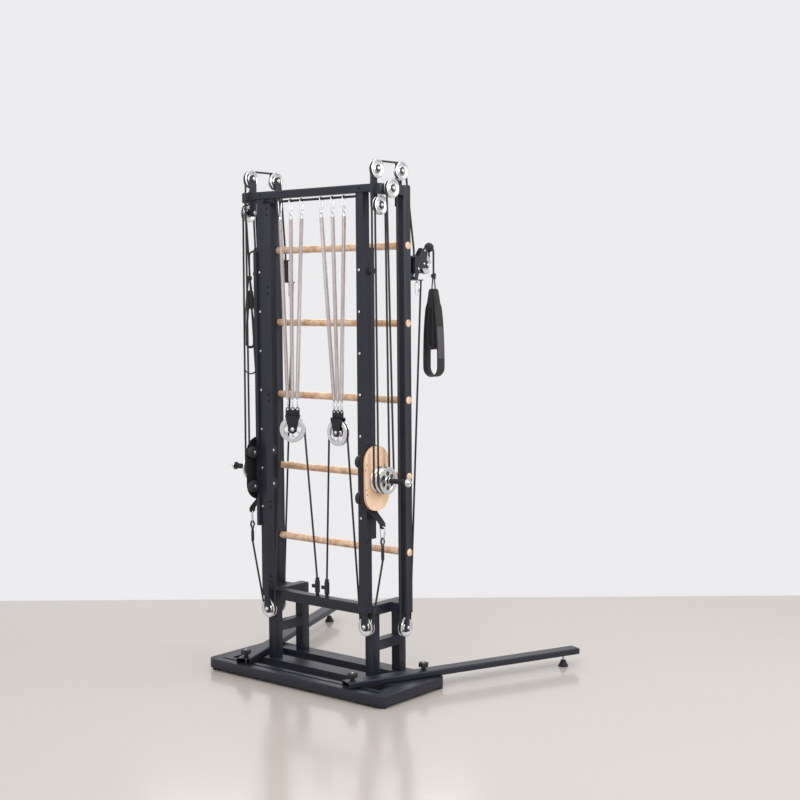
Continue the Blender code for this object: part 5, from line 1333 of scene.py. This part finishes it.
class TOWER_OT_yokes(bpy.types.Operator):
    """Build the yokes, their lower snap hooks and the big spoked pulleys"""
    bl_idname = "tower.yokes"
    bl_label = "Yokes and big pulleys"

    def execute(self, context):
        for word, side in SIDES:
            place = yoke_matrix(word)
            self.fork(word, side, place)
            self.hooks(word, side, place)
            self.wheel(word, side, place)
        return {"FINISHED"}

    def fork(self, word, side, place):
        bm = start_mesh()
        fold = 0.056
        cheek = [(-0.0290, fold + 0.0030), (-0.0290, fold - 0.0060), (-0.0162, 0.0030)]
        cheek += bottom_arc(15, 165, -0.0010)[::-1]
        cheek += [(0.0162, 0.0030), (0.0290, fold - 0.0060), (0.0290, fold + 0.0030)]
        for face in (-0.0095, 0.0125):
            plate_in(bm, cheek, place_flat_y(face), 0.0, 0.003)
        box_in(bm, (-0.0290, -0.0125, fold), (0.0290, 0.0125, fold + 0.003))
        ears = [(-0.0290, fold + 0.001)]
        for index in (-1, 0, 1):
            centre = index * EAR_PITCH
            for turn in range(180, -1, -20):
                angle = math.radians(turn)
                ears.append((centre + 0.0088 * math.cos(angle), 0.0815 + 0.0090 * math.sin(angle)))
        ears.append((0.0290, fold + 0.001))
        holes = [(index * EAR_PITCH, 0.082, 0.0044) for index in (-1, 0, 1)]
        plate_in(bm, ears, place_flat_y(0.0015), 0.0, 0.003, holes)
        for way in (-1, 1):
            collar = place_on("Y", (0.0, 0.0, 0.0))
            ring = [(way * 0.0083, 0.0056), (way * 0.0083, 0.0115), (way * 0.0094, 0.0115),
                    (way * 0.0094, 0.0056)]
            lathe(bm, ring, collar, 28, True)
        finished(f"yoke_fork_{word}", bm, ["black_plate"], f"yoke_body_{word}", [f"yoke_{word}"], 0.0006,
                 side=side, place=place)
        bm = start_mesh()
        for way in (-1, 1):
            lathe(bm, dome_nut(0.0078, 0.0068), turned_at((0.0, way * 0.0125, 0.0), -90 * way, "X"), 24)
        lathe(bm, [(-0.0125, 0.0049), (0.0125, 0.0049)], place_on("Y", (0.0, 0.0, 0.0)), 20)
        finished(f"yoke_bolt_{word}", bm, ["bright_zinc"], f"yoke_body_{word}", side=side, place=place)

    def hooks(self, word, side, place):
        bm = start_mesh()
        for index in (-1, 0, 1):
            top = 0.0860 + 0.0360
            snap_hook(bm, turned_at((index * EAR_PITCH, 0.0, top - 0.0003), 90, "Z"), 0.0385, 0.0150, 0.0031)
            base = top - 0.0012
            socket = [(base, 0.0), (base, 0.0028), (base + 0.0045, 0.0056), (base + 0.0070, 0.0068),
                      (0.1346, 0.0066), (0.1348, 0.0046), (0.1386, 0.0045), (0.1386, 0.0)]
            lathe(bm, socket, place_on("Z", (index * EAR_PITCH, 0.0, 0.0)), 20)
        finished(f"spring_low_hooks_{word}", bm, ["bright_zinc"], f"yoke_body_{word}", side=side, place=place)

    def wheel(self, word, side, place):
        bm = start_mesh()
        axis = place_on("Y", (0.0, 0.0, 0.0))
        rim = 0.0528
        tyre = [(-0.0080, 0.0365), (-0.0080, rim - 0.0014), (-0.0068, rim), (-0.0056, rim - 0.0010),
                (-0.0042, 0.0425), (0.0042, 0.0425), (0.0056, rim - 0.0010), (0.0068, rim),
                (0.0080, rim - 0.0014), (0.0080, 0.0365), (0.0050, 0.0350), (-0.0050, 0.0350)]
        lathe(bm, tyre, axis, 64, True)
        windowed_disc(bm, axis, -0.0022, 0.0022, 0.0085, 0.0356, 0.0098, 0.0250, 6, 1)
        hub = [(-0.0079, 0.0062), (-0.0079, 0.0135), (-0.0068, 0.0148), (0.0068, 0.0148), (0.0079, 0.0135),
               (0.0079, 0.0062)]
        lathe(bm, hub, axis, 40, True, 1)
        finished(f"big_pulley_{word}_turned", bm, ["polished_steel", "bright_zinc"], f"big_wheel_{word}",
                 [f"big_pulley_{word}"], side=side, place=place)


# Ropes

def tube_piece(name, runs, side, body=None, stands_for=(), sides=12):
    bm = start_mesh()
    for run in runs:
        sweep(bm, run, ROPE_DIAMETER / 2, sides)
    return finished(name, bm, ["braided_rope"], body, stands_for, angle=60.0, side=side)


def straight(start, end, steps=24):
    first = Vector(start)
    last = Vector(end)
    return [first.lerp(last, step / steps) for step in range(steps + 1)]


class TOWER_OT_ropes(bpy.types.Operator):
    """Build the main ropes and spring ropes along their real routes"""
    bl_idname = "tower.ropes"
    bl_label = "Ropes"

    def execute(self, context):
        for word, side in SIDES:
            self.main_rope(word, side)
            self.spring_rope(word, side)
        return {"FINISHED"}

    def main_rope(self, word, side):
        small = PULLEY_PITCH_RADIUS
        drum = DRUM_PITCH_RADIUS
        drum_front = DRUM_CENTRE[1] - drum
        drum_back = DRUM_CENTRE[1] + drum
        drum_z = DRUM_CENTRE[2]
        over = [Vector((*STRAP_AXIS, STRAP_ARM_HEIGHT + 0.045)),
                Vector((*STRAP_AXIS, STRAP_ARM_HEIGHT + 0.057))]
        over += arc_points("X", HIGH_REAR, small, -6, 90, 18)
        over += arc_points("X", HIGH_FRONT, small, 90, 180, 18)
        low_turn = arc_points("X", LOW, small, 0, 180, 30)
        rear = arc_points("X", SIDE, small, 178, -2, 30)
        rear += arc_points("X", REAR_FOOT, small, 179, 363, 30)
        rear.append(Vector((LADDER_X[0] + 0.021, LADDER_Y[1] + 0.086, STRAP_ARM_HEIGHT - 0.0623)))
        tube_piece(f"main_rope_fixed_{word}", [over, low_turn, rear], side, "tower", [f"main_rope_{word}"])
        wraps = [arc_points("X", (GROOVE_A, *DRUM_CENTRE[1:]), drum, 180, 360, 30),
                 arc_points("X", (GROOVE_B, *DRUM_CENTRE[1:]), drum, 180, 360, 30)]
        tube_piece(f"main_rope_wraps_{word}", wraps, side, f"carriage_{word}")
        falls = {
            "first": ((GROOVE_A, drum_front, drum_z), (HIGH_FRONT[0], HIGH_FRONT[1] - small, HIGH_FRONT[2])),
            "second": ((GROOVE_A, drum_back, drum_z), (LOW[0], LOW[1] + small, LOW[2])),
            "third": ((GROOVE_B, drum_front, drum_z), (LOW[0], LOW[1] - small, LOW[2])),
            "fourth": ((GROOVE_B, drum_back, drum_z), (SIDE[0], SIDE[1] - small, SIDE[2])),
        }
        for label, (start, end) in falls.items():
            item = tube_piece(f"main_rope_{label}_fall_{word}", [straight(start, end)], side, "tower")
            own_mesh(item)

    def spring_rope(self, word, side):
        small = PULLEY_PITCH_RADIUS
        turn = arc_points("Y", FRONT_FOOT, small, 10, -184, 32)
        tube_piece(f"spring_rope_turn_{word}", [turn], side, "tower", [f"spring_rope_{word}"])
        splice = (HOOK_X, UPRIGHT_MIDDLE, EYE_SPLICE)
        item = tube_piece(f"spring_rope_outer_{word}", [straight(turn[0], splice)], side)
        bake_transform(item)
        place = yoke_matrix(word)
        wrap = []
        for step in range(33):
            angle = math.pi * step / 32
            spot = Vector((BIG_PITCH_RADIUS * math.cos(angle), 0.0, BIG_PITCH_RADIUS * math.sin(angle)))
            wrap.append(place @ spot)
        tube_piece(f"spring_rope_wrap_{word}", [wrap], side, f"yoke_body_{word}")
        lock = Vector(ROPE_LOCK)
        for label, first, last in (("middle", turn[-1], wrap[0]), ("inner", lock, wrap[-1])):
            item = tube_piece(f"spring_rope_{label}_{word}", [straight(first, last)], side, "tower")
            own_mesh(item)
        bm = start_mesh()
        knot = [(-0.0008, 0.0040), (-0.0003, 0.0070), (0.0037, 0.0085), (0.0087, 0.0086), (0.0127, 0.0070),
                (0.0147, 0.0040)]
        lathe(bm, knot, place_on("Z", lock), 24)
        finished(f"spring_rope_knot_{word}", bm, ["braided_rope"], "tower", side=side)


# Strap arms and straps

def strap_matrix(word):
    return turned_at((*STRAP_AXIS, 0.0), -STRAP_TURN[word], "Z")


class TOWER_OT_strap_arms(bpy.types.Operator):
    """Build the swivelling strap arms with their pulleys, rope and stop balls"""
    bl_idname = "tower.strap_arms"
    bl_label = "Strap arms"

    def execute(self, context):
        for word, side in SIDES:
            place = strap_matrix(word)
            body = f"strap_swivel_{word}"
            self.cheeks(word, side, place, body)
            self.wheel(word, side, place)
            self.rope_and_ball(word, side, place, body)
        return {"FINISHED"}

    def cheeks(self, word, side, place, body):
        bm = start_mesh()
        low = STRAP_ARM_HEIGHT - 0.0557
        high = STRAP_ARM_HEIGHT + 0.0277
        middle = STRAP_ARM_HEIGHT
        tip = STRAP_REACH
        outline = [(-0.012, low), (0.010, low), (0.018, middle - 0.036), (0.032, middle - 0.016),
                   (0.062, middle - 0.013), (tip - 0.004, middle - 0.0125), (tip + 0.006, middle - 0.0105),
                   (tip + 0.011, middle - 0.005), (tip + 0.0118, middle + 0.003), (tip + 0.007, middle + 0.010),
                   (tip - 0.008, middle + 0.020), (tip - 0.001, middle + 0.048), (tip - 0.001, middle + 0.060),
                   (tip - 0.006, middle + 0.067), (0.060, middle + 0.067), (0.051, middle + 0.062),
                   (0.020, high), (-0.012, high)]
        for face in (-0.0125, 0.0095):
            plate_in(bm, outline, place_flat_x((0.0, 0.0)), face, face + 0.003)
        box_in(bm, (-0.0097, -0.012, low), (0.0097, 0.014, low + 0.005))
        box_in(bm, (-0.0097, -0.012, high - 0.005), (0.0097, 0.014, high))
        box_in(bm, (-0.0097, 0.054, middle + 0.046), (0.0097, 0.070, middle + 0.050))
        lathe(bm, [(-0.0105, 0.0105), (0.0105, 0.0105)],
              place_on("X", (0.0, 0.014, middle - PULLEY_PITCH_RADIUS + 0.014)), 28)
        finished(f"strap_arm_cheeks_{word}", bm, ["black_plate"], body, [f"strap_arm_{word}"], 0.0007,
                 side=side, place=place)
        bm = start_mesh()
        for y, z, radius in ((STRAP_REACH, middle, 0.0085), (0.064, middle + 0.056, 0.0042),
                             (0.014, middle - 0.016, 0.0055), (0.058, middle + 0.004, 0.0048)):
            for way in (-1, 1):
                lathe(bm, dome_nut(radius, radius * 0.8), turned_at((way * 0.0124, y, z), 90 * way, "Y"), 20)
        lathe(bm, [(-0.0125, 0.0049), (0.0125, 0.0049)], place_on("X", (0.0, STRAP_REACH, middle)), 20)
        finished(f"strap_arm_bolts_{word}", bm, ["bright_zinc"], body, side=side, place=place)
        bm = start_mesh()
        x, y, z = STAPLE
        staple = [(x - STAPLE_RADIUS, y, z + 0.0047)]
        staple += arc_points("Y", STAPLE, -STAPLE_RADIUS, 0, 180, 9)
        staple.append((x + STAPLE_RADIUS, y, z + 0.0047))
        sweep(bm, staple, 0.0014, 10)
        hang = turned_at((x, y, z - 0.0029), 58, "Z")
        snap_hook(bm, hang, 0.0500, 0.0220, 0.0044)
        finished(f"strap_parked_hook_{word}", bm, ["bright_zinc"], "tower", side=side)

    def wheel(self, word, side, place):
        bm = wheel_mesh(start_mesh(), place_on("X", (0.0, STRAP_REACH, STRAP_ARM_HEIGHT)))
        node = f"strap_wheel_{word}"
        finished(f"{node}_turned", bm, ["polished_steel", "black_plastic"], f"strap_roll_{word}", [node],
                 side=side, place=place)

    def rope_and_ball(self, word, side, place, body):
        middle = STRAP_ARM_HEIGHT
        points = [Vector((0.0, 0.0, middle + 0.0447))]
        points += arc_points("X", (0.0, 0.014, middle - PULLEY_PITCH_RADIUS + 0.014), 0.014, 180, 270, 10)
        points += arc_points("X", (0.0, STRAP_REACH, middle), PULLEY_PITCH_RADIUS, 270, 360, 14)
        ball_y = STRAP_REACH + PULLEY_PITCH_RADIUS
        points.append(Vector((0.0, ball_y, middle + BALL_RISE - BALL_RADIUS + 0.003)))
        tube_piece(f"strap_arm_rope_{word}", [[place @ point for point in points]], side, body)
        bm = start_mesh()
        profile = []
        for step in range(25):
            angle = math.pi * step / 24
            radius = BALL_RADIUS * math.sin(angle)
            profile.append((-BALL_RADIUS * math.cos(angle), 0.0 if step in (0, 24) else radius))
        lathe(bm, profile, place_on("Z", (0.0, ball_y, middle + BALL_RISE)), 40)
        seam = place_on("Z", (0.0, ball_y, middle + BALL_RISE))
        ring = [(-0.0012, BALL_RADIUS - 0.0004), (0.0, BALL_RADIUS + 0.0004), (0.0012, BALL_RADIUS - 0.0004)]
        lathe(bm, ring, seam, 40, True)
        finished(f"strap_ball_{word}", bm, ["soft_rubber"], body, side=side, place=place)


class TOWER_OT_straps(bpy.types.Operator):
    """Build the hanging strap ropes, knots, short cords and stitched webbing loops"""
    bl_idname = "tower.straps"
    bl_label = "Straps"

    def execute(self, context):
        for word, side in SIDES:
            place = strap_matrix(word)
            body = f"strap_swivel_{word}"
            self.hanging_rope(word, side, place, body)
            turned = place @ turned_at((0.0, STRAP_HANG, 0.0), STRAP_TWIST[word], "Z")
            self.knot(word, side, turned, body)
            self.loop(word, side, turned, body, context.scene.tower_sizes.stitch_length)
        return {"FINISHED"}

    def hanging_rope(self, word, side, place, body):
        middle = STRAP_ARM_HEIGHT + BALL_RISE
        exit_y = STRAP_REACH + PULLEY_PITCH_RADIUS + BALL_RADIUS * math.cos(math.pi / 8) + 0.0003
        bend = STRAP_HANG - exit_y
        points = arc_points("X", (0.0, exit_y, middle - bend), bend, 90, 0, 14)
        top = points[-1].z
        for step in range(1, 11):
            points.append(Vector((0.0, STRAP_HANG, top - (top - STRAP_ROPE_LOW) * step / 10)))
        route = [place @ point for point in points]
        route = [Vector((side * point.x, point.y, point.z)) for point in route]
        bm = start_mesh()
        sweep(bm, route, ROPE_DIAMETER / 2, 14)
        item = finished(f"strap_rope_{word}_braided", bm, ["braided_rope"], body, [f"strap_rope_{word}"],
                        angle=60.0)

    def knot(self, word, side, turned, body):
        bm = start_mesh()
        for turn in range(3):
            points = []
            for step in range(20):
                angle = 2 * math.pi * step / 20
                lift = 0.0026 * math.sin(angle + turn * 2.1)
                points.append(Vector((0.0072 * math.cos(angle), 0.0068 * math.sin(angle),
                                      1.6345 - turn * 0.0056 + lift)))
            sweep(bm, points, 0.0038, 10, True)
        lathe(bm, [(1.6400, 0.0), (1.6400, 0.0042), (1.6180, 0.0060), (1.6175, 0.0)], Matrix.Identity(4), 16)
        for way in (-1, 1):
            points = [Vector((way * 0.0035, 0.0, 1.6225)), Vector((way * 0.0050, 0.0, 1.6100)),
                      Vector((way * 0.0078, 0.0, 1.5900)), Vector((way * 0.0090, 0.0, 1.5752))]
            sweep(bm, points, 0.0026, 10)
        finished(f"strap_knot_{word}", bm, ["braided_rope"], body, angle=60.0, side=side, place=turned)

    def loop(self, word, side, turned, body, stitch):
        """An outer loop of webbing, a padded inner loop, and the sleeve that both are sewn into."""
        half_low = STRAP_HALF_WIDTH[word]
        stitches = []
        outer = self.teardrop(*STRAP_LOOP, 0.0118, half_low)
        inner = self.teardrop(*PADDED_LOOP, 0.0052, min(0.0150, half_low * 0.62))
        patch = [(x, z) for x, z in outer if x > 0 and LABEL_SPAN[0] < z < LABEL_SPAN[1]]

        def outer_size(z):
            return 0.0225 - 0.0065 * ramp(z, 1.500, 1.525), 0.0021 + 0.0006 * ramp(z, 1.49, 1.53)

        def inner_size(z):
            return 0.0215 - 0.0065 * ramp(z, 1.475, 1.505), 0.0046 - 0.0012 * ramp(z, 1.46, 1.50)

        webbing = self.band(outer, outer_size, stitches, 0.0035)
        padding = self.band(inner, inner_size, stitches, 0.0050)
        label = self.band(patch, lambda z: (0.0196, 0.0006), [], 0.0, 0.0027, False)
        for name, bm, finish, stands_for in (
                ("webbing", webbing, "strap_webbing", [f"strap_{word}"]),
                ("padded_loop", padding, "strap_webbing", ()),
                ("sleeve", self.sleeve(), "strap_webbing", ()),
                ("label", label, "bare_label", ())):
            finished(f"strap_{name}_{word}", bm, [finish], body, stands_for, angle=50.0, side=side,
                     place=turned)
        for z in SEAM_HEIGHTS:
            for step in range(9):
                for way in (-1, 1):
                    stitches.append((Vector((way * 0.0146, -0.0125 + 0.003125 * step, z)),
                                     Vector((0.0, 1.0, 0.0))))
        mirror = Matrix.Scale(side, 4, (1.0, 0.0, 0.0))
        turn = mirror @ turned
        placed = [(turn @ spot, (turn.to_3x3() @ direction).normalized()) for spot, direction in stitches]
        thread = [(-stitch / 2, 0.0), (-stitch * 0.35, 0.0004), (stitch * 0.35, 0.0004), (stitch / 2, 0.0)]
        scattered(f"strap_stitches_{word}", placed, thread, "strap_thread", body, 6)

    def teardrop(self, top, low, half_top, half_low):
        """Centre line, in local X and Z, of a loop that hangs from a narrow top to a round bottom."""
        shoulder = top - half_top - 0.001
        centre = []
        for step in range(13):
            angle = math.radians(180 * step / 12)
            centre.append((half_top * math.cos(angle), shoulder + (half_top - 0.0015) * math.sin(angle)))
        for step in range(1, 26):
            centre.append(self.side_of_loop(step / 26, shoulder, low, half_top, half_low, -1))
        for step in range(25):
            angle = math.radians(180 + 180 * step / 24)
            centre.append((half_low * math.cos(angle), low + half_low + half_low * math.sin(angle)))
        for step in range(25, 0, -1):
            centre.append(self.side_of_loop(step / 26, shoulder, low, half_top, half_low, 1))
        return centre

    def side_of_loop(self, share, shoulder, low, half_top, half_low, way):
        ease = 1 - (1 - share) ** 2.6
        return (way * (half_top + (half_low - half_top) * ease),
                shoulder - (shoulder - low - half_low) * share)

    def band(self, centre, size_at, stitches, inset, lift=0.0, closed=True):
        """Sweeps a flat rounded section along a centre line, with its UV in metres."""
        bm = start_mesh()
        layer = bm.loops.layers.uv.active
        count = len(centre)
        rings = []
        travel = 0.0
        for index, (x, z) in enumerate(centre):
            before = Vector(centre[index - 1 if closed else max(index - 1, 0)])
            after = Vector(centre[(index + 1) % count if closed else min(index + 1, count - 1)])
            along = (after - before).normalized()
            out = Vector((along.y, -along.x))
            x, z = x + out.x * lift, z + out.y * lift
            half, thick = size_at(z)
            section = []
            for step in range(20):
                angle = 2 * math.pi * step / 20
                across = math.copysign(abs(math.cos(angle)) ** 0.35, math.cos(angle)) * half
                depth = math.copysign(abs(math.sin(angle)) ** 0.7, math.sin(angle)) * thick
                spot = Vector((x + out.x * depth, across, z + out.y * depth))
                section.append((bm.verts.new(spot), across))
            travel += (Vector((x, z)) - before).length if index else 0.0
            rings.append((section, travel))
            if inset and z < 1.495:
                for across in (-half + inset, half - inset):
                    spot = Vector((x + out.x * thick, across, z + out.y * thick))
                    stitches.append((spot, Vector((along.x, 0.0, along.y))))
        if closed:
            rings.append((rings[0][0], travel + 0.003))
        else:
            bm.faces.new([vert for vert, _ in rings[0][0]])
            bm.faces.new([vert for vert, _ in rings[-1][0]])
        for (low_ring, low_v), (high_ring, high_v) in zip(rings, rings[1:]):
            for step in range(20):
                after = (step + 1) % 20
                corners = [(*low_ring[step], low_v), (*low_ring[after], low_v), (*high_ring[after], high_v),
                           (*high_ring[step], high_v)]
                face = bm.faces.new([corner[0] for corner in corners])
                face.smooth = True
                for loop, corner in zip(face.loops, corners):
                    loop[layer].uv = (corner[1], corner[2])
        return bm

    def sleeve(self):
        """The folded sleeve round both loops, a little fuller in its middle."""
        bm = start_mesh()
        layer = bm.loops.layers.uv.active
        rows = []
        for z, half_x, half_y in (
                (1.5010, 0.0110, 0.0140), (1.5020, 0.0138, 0.0166), (1.5060, 0.0145, 0.0172),
                (1.5200, 0.0152, 0.0178), (1.5400, 0.0156, 0.0180), (1.5600, 0.0152, 0.0176),
                (1.5720, 0.0145, 0.0170), (1.5765, 0.0132, 0.0158), (1.5775, 0.0100, 0.0125)):
            ring = []
            for step in range(32):
                angle = 2 * math.pi * step / 32
                x = math.copysign(abs(math.cos(angle)) ** 0.5, math.cos(angle)) * half_x
                y = math.copysign(abs(math.sin(angle)) ** 0.5, math.sin(angle)) * half_y
                ring.append(bm.verts.new((x, y, z)))
            rows.append(ring)
        for low_ring, high_ring in zip(rows, rows[1:]):
            for step in range(32):
                after = (step + 1) % 32
                face = bm.faces.new((low_ring[step], low_ring[after], high_ring[after], high_ring[step]))
                face.smooth = True
                for loop in face.loops:
                    loop[layer].uv = (loop.vert.co.x + loop.vert.co.y, loop.vert.co.z)
        bm.faces.new(rows[0][::-1])
        bm.faces.new(rows[-1])
        return bm


def ramp(value, low, high):
    share = max(0.0, min(1.0, (value - low) / (high - low)))
    return share * share * (3 - 2 * share)


# Outrigger fittings

class TOWER_OT_outrigger_fittings(bpy.types.Operator):
    """Build the star knobs with their studs, and the levelling feet"""
    bl_idname = "tower.outrigger_fittings"
    bl_label = "Outrigger fittings"

    def execute(self, context):
        for word, side in SIDES:
            for label, station in KNOB_STATIONS:
                self.knob(word, side, label, station)
            self.foot(word, side)
        return {"FINISHED"}

    def knob(self, word, side, label, station):
        x, y = arm_point(station)
        base = ARM_TOP + 0.0003
        bm = start_mesh()
        layers = ((0.0120, 0.93), (0.0130, 0.985), (0.0150, 1.0), (0.0260, 1.0), (0.0285, 0.97),
                  (0.0298, 0.88), (0.0302, 0.62))
        rings = []
        steps = 72
        for height, scale in layers:
            ring = []
            for step in range(steps):
                angle = 2 * math.pi * step / steps
                radius = KNOB_RADIUS * scale * (0.885 + 0.115 * math.cos(6 * angle))
                ring.append(bm.verts.new((x + radius * math.cos(angle), y + radius * math.sin(angle),
                                          base + height)))
            rings.append(ring)
        for low, high in zip(rings, rings[1:]):
            for step in range(steps):
                after = (step + 1) % steps
                bm.faces.new((low[step], low[after], high[after], high[step]))
        bm.faces.new(rings[0])
        bm.faces.new(rings[-1])
        stem = place_on("Z", (x, y, base))
        lathe(bm, [(0.0, 0.0105), (0.0025, 0.0105), (0.0035, 0.0088), (0.0125, 0.0088)], stem, 28)
        node = f"knob_{label}_{word}"
        body = f"knob_{label}_body_{word}"
        finished(f"{node}_moulded", bm, ["black_plastic"], body, [node], angle=40.0, side=side)
        bm = start_mesh()
        lathe(bm, [(0.0050, 0.0), (0.0050, 0.0036), (0.0055, 0.0039), (0.0740, 0.0039), (0.0740, 0.0)],
              place_on("Z", (x, y, 0.0)), 20)
        lathe(bm, [(0.0042, 0.0), (0.0042, 0.0080), (0.0048, 0.0088), (0.0110, 0.0088), (0.0116, 0.0080),
                   (0.0116, 0.0)], place_on("Z", (x, y, 0.0)), 6)
        lathe(bm, [(0.0303, 0.0045), (0.0310, 0.0040), (0.0310, 0.0)], stem, 20)
        finished(f"{node}_stud", bm, ["bright_zinc"], body, side=side)

    def foot(self, word, side):
        x, y = arm_point(FOOT_STATION)
        place = place_on("Z", (x, y, 0.0))
        bm = start_mesh()
        pad = [(0.0, 0.0), (0.0, 0.0195), (0.0010, 0.0205), (0.0050, 0.0205), (0.0070, 0.0185),
               (0.0150, 0.0150), (0.0200, 0.0118), (0.0260, 0.0100), (0.0278, 0.0088), (0.0280, 0.0)]
        lathe(bm, pad, place, 44)
        node = f"levelling_foot_{word}"
        finished(f"{node}_pad", bm, ["soft_rubber"], f"foot_{word}", [node], side=side)
        bm = start_mesh()
        thread = [(0.0275, 0.0)]
        height = 0.0275
        while height < 0.0680:
            thread += [(height, 0.0034), (height + 0.0006, 0.0040)]
            height += 0.00125
        thread.append((0.0690, 0.0))
        lathe(bm, thread, place, 20)
        lathe(bm, [(0.0425, 0.0041), (0.0425, 0.0070), (0.0430, 0.0076), (0.0484, 0.0076), (0.0490, 0.0070),
                   (0.0490, 0.0041)], place, 6, True)
        finished(f"{node}_thread", bm, ["bright_zinc"], f"foot_{word}", side=side)


def arm_point(station):
    angle = math.radians(ARM_ANGLE)
    return (ARM_START[0] + station * math.cos(angle), ARM_START[1] + station * math.sin(angle))


# Stage
# The photograph's camera: angles are turn, tilt and roll in degrees, and the lens is in millimetres
CAMERA_EYE = (3.7846, -4.4276, 1.5356)
CAMERA_ANGLES = (39.646, 4.4805, -0.3941)
CAMERA_LENS = (62.77, 36.0)
CAMERA_SHIFT = (0.008125, 0.01125)
# Each lamp: place, aim, size in metres, power in watts
LAMPS = {
    "key_light": ((1.2, -3.6, 3.6), (0.0, -0.2, 1.0), 2.6, 46.0),
    "fill_light": ((3.4, 0.6, 2.6), (0.0, -0.2, 1.0), 2.2, 54.0),
    "rear_light": ((-2.6, 2.4, 3.2), (0.0, -0.2, 1.0), 2.4, 30.0),
    "top_light": ((0.0, -0.6, 4.4), (0.0, -0.3, 0.0), 3.0, 34.0),
    "upper_light": ((1.7, -2.1, 2.5), (0.0, -0.3, 1.9), 1.3, 20.0),
}
FLOOR_REACH = (-4.0, 7.1)
FLOOR_HALF_WIDTH = 8.0


class TOWER_OT_stage(bpy.types.Operator):
    """Set the plain floor, soft lights and camera"""
    bl_idname = "tower.stage"
    bl_label = "Stage"

    def execute(self, context):
        scene = context.scene
        scene.view_settings.view_transform = "Standard"
        eye = Vector(CAMERA_EYE)
        turn, tilt, roll = (math.radians(degrees) for degrees in CAMERA_ANGLES)
        ahead = Vector((-math.sin(turn) * math.cos(tilt), math.cos(turn) * math.cos(tilt), -math.sin(tilt)))
        right = Vector((math.cos(turn), math.sin(turn), 0.0))
        down = ahead.cross(right)
        rolled_right = right * math.cos(roll) - down * math.sin(roll)
        rolled_down = right * math.sin(roll) + down * math.cos(roll)
        frame = Matrix((rolled_right, -rolled_down, -ahead)).transposed().to_4x4()
        lens = bpy.data.cameras.new("camera")
        lens.lens, lens.sensor_width = CAMERA_LENS
        lens.shift_x, lens.shift_y = CAMERA_SHIFT
        camera = bpy.data.objects.new("camera", lens)
        camera.matrix_world = Matrix.Translation(eye) @ frame
        scene.collection.objects.link(camera)
        scene.camera = camera
        self.floor(scene, eye, turn)
        self.lights(scene)
        return {"FINISHED"}

    def floor(self, scene, eye, turn):
        flat = Vector((-math.sin(turn), math.cos(turn), 0.0))
        right = Vector((math.cos(turn), math.sin(turn), 0.0))
        ground = Vector((eye.x, eye.y, 0.0))
        near, far = (ground + flat * reach for reach in FLOOR_REACH)
        edge = right * FLOOR_HALF_WIDTH
        corners = [near - edge, near + edge, far + edge, far - edge]
        mesh = bpy.data.meshes.new("floor")
        mesh.from_pydata([tuple(corner) for corner in corners], [], [(0, 1, 2, 3)])
        item = bpy.data.objects.new("floor", mesh)
        scene.collection.objects.link(item)
        made, tree, shader, places = fresh_material("studio_floor")
        tone = group_node(tree, "fine_bumps", {"Vector": places.outputs["Object"], "Scale": 40.0,
                                               "Patch Scale": 0.8})
        colour = tuple(scene.tower_colours.floor)
        colour = blend_colours(tree, tone.outputs["Patches"], tinted(colour, 0.98), tinted(colour, 1.02))
        tree.links.new(colour, shader.inputs["Base Color"])
        shader.inputs["Roughness"].default_value = 0.16
        mesh.materials.append(made)

    def lights(self, scene):
        world = bpy.data.worlds.new("studio")
        world.use_nodes = True
        tree = world.node_tree
        soft = tree.nodes["Background"]
        soft.inputs["Color"].default_value = (0.95, 0.97, 1.0, 1.0)
        soft.inputs["Strength"].default_value = 0.75
        shown = add_node(tree, "ShaderNodeBackground", None,
                         {"Color": (0.842, 0.839, 0.856, 1.0), "Strength": 1.0})
        path = tree.nodes.new("ShaderNodeLightPath")
        seen = calc(tree, "MAXIMUM", path.outputs["Is Camera Ray"], path.outputs["Is Glossy Ray"])
        mix = add_node(tree, "ShaderNodeMixShader", None, {0: seen, 1: soft.outputs[0], 2: shown.outputs[0]})
        tree.links.new(mix.outputs[0], tree.nodes["World Output"].inputs["Surface"])
        scene.world = world
        for name, (place, aim, size, power) in LAMPS.items():
            data = bpy.data.lights.new(name, "AREA")
            data.size = size
            data.energy = power
            lamp = bpy.data.objects.new(name, data)
            lamp.location = place
            lamp.rotation_euler = (Vector(aim) - Vector(place)).to_track_quat("-Z", "Y").to_euler()
            scene.collection.objects.link(lamp)


class TOWER_PT_panel(bpy.types.Panel):
    """Lists the tower's pieces, sizes and colours"""
    bl_idname = "TOWER_PT_panel"
    bl_label = "Tower"
    bl_space_type = "VIEW_3D"
    bl_region_type = "UI"
    bl_category = "Tower"

    def draw(self, context):
        for group in (context.scene.tower_sizes, context.scene.tower_colours):
            column = self.layout.column()
            for name in group.__annotations__:
                column.prop(group, name)
        for operator in OPERATORS:
            self.layout.operator(operator.bl_idname)


OPERATORS = (
    TOWER_OT_stage, TOWER_OT_straps, TOWER_OT_frames, TOWER_OT_front_uprights, TOWER_OT_rungs,
    TOWER_OT_fasteners, TOWER_OT_pulleys, TOWER_OT_drums, TOWER_OT_carriages, TOWER_OT_springs,
    TOWER_OT_yokes, TOWER_OT_ropes, TOWER_OT_strap_arms, TOWER_OT_outrigger_fittings,
)
CLASSES = (TowerSizes, TowerColours, *OPERATORS, TOWER_PT_panel)


def register():
    for made in CLASSES:
        bpy.utils.register_class(made)
    bpy.types.Scene.tower_sizes = bpy.props.PointerProperty(type=TowerSizes)
    bpy.types.Scene.tower_colours = bpy.props.PointerProperty(type=TowerColours)


def unregister():
    del bpy.types.Scene.tower_sizes
    del bpy.types.Scene.tower_colours
    for made in reversed(CLASSES):
        bpy.utils.unregister_class(made)


def main():
    register()
    for operator in OPERATORS:
        group, name = operator.bl_idname.split(".")
        getattr(getattr(bpy.ops, group), name)()


if __name__ == "__main__":
    main()
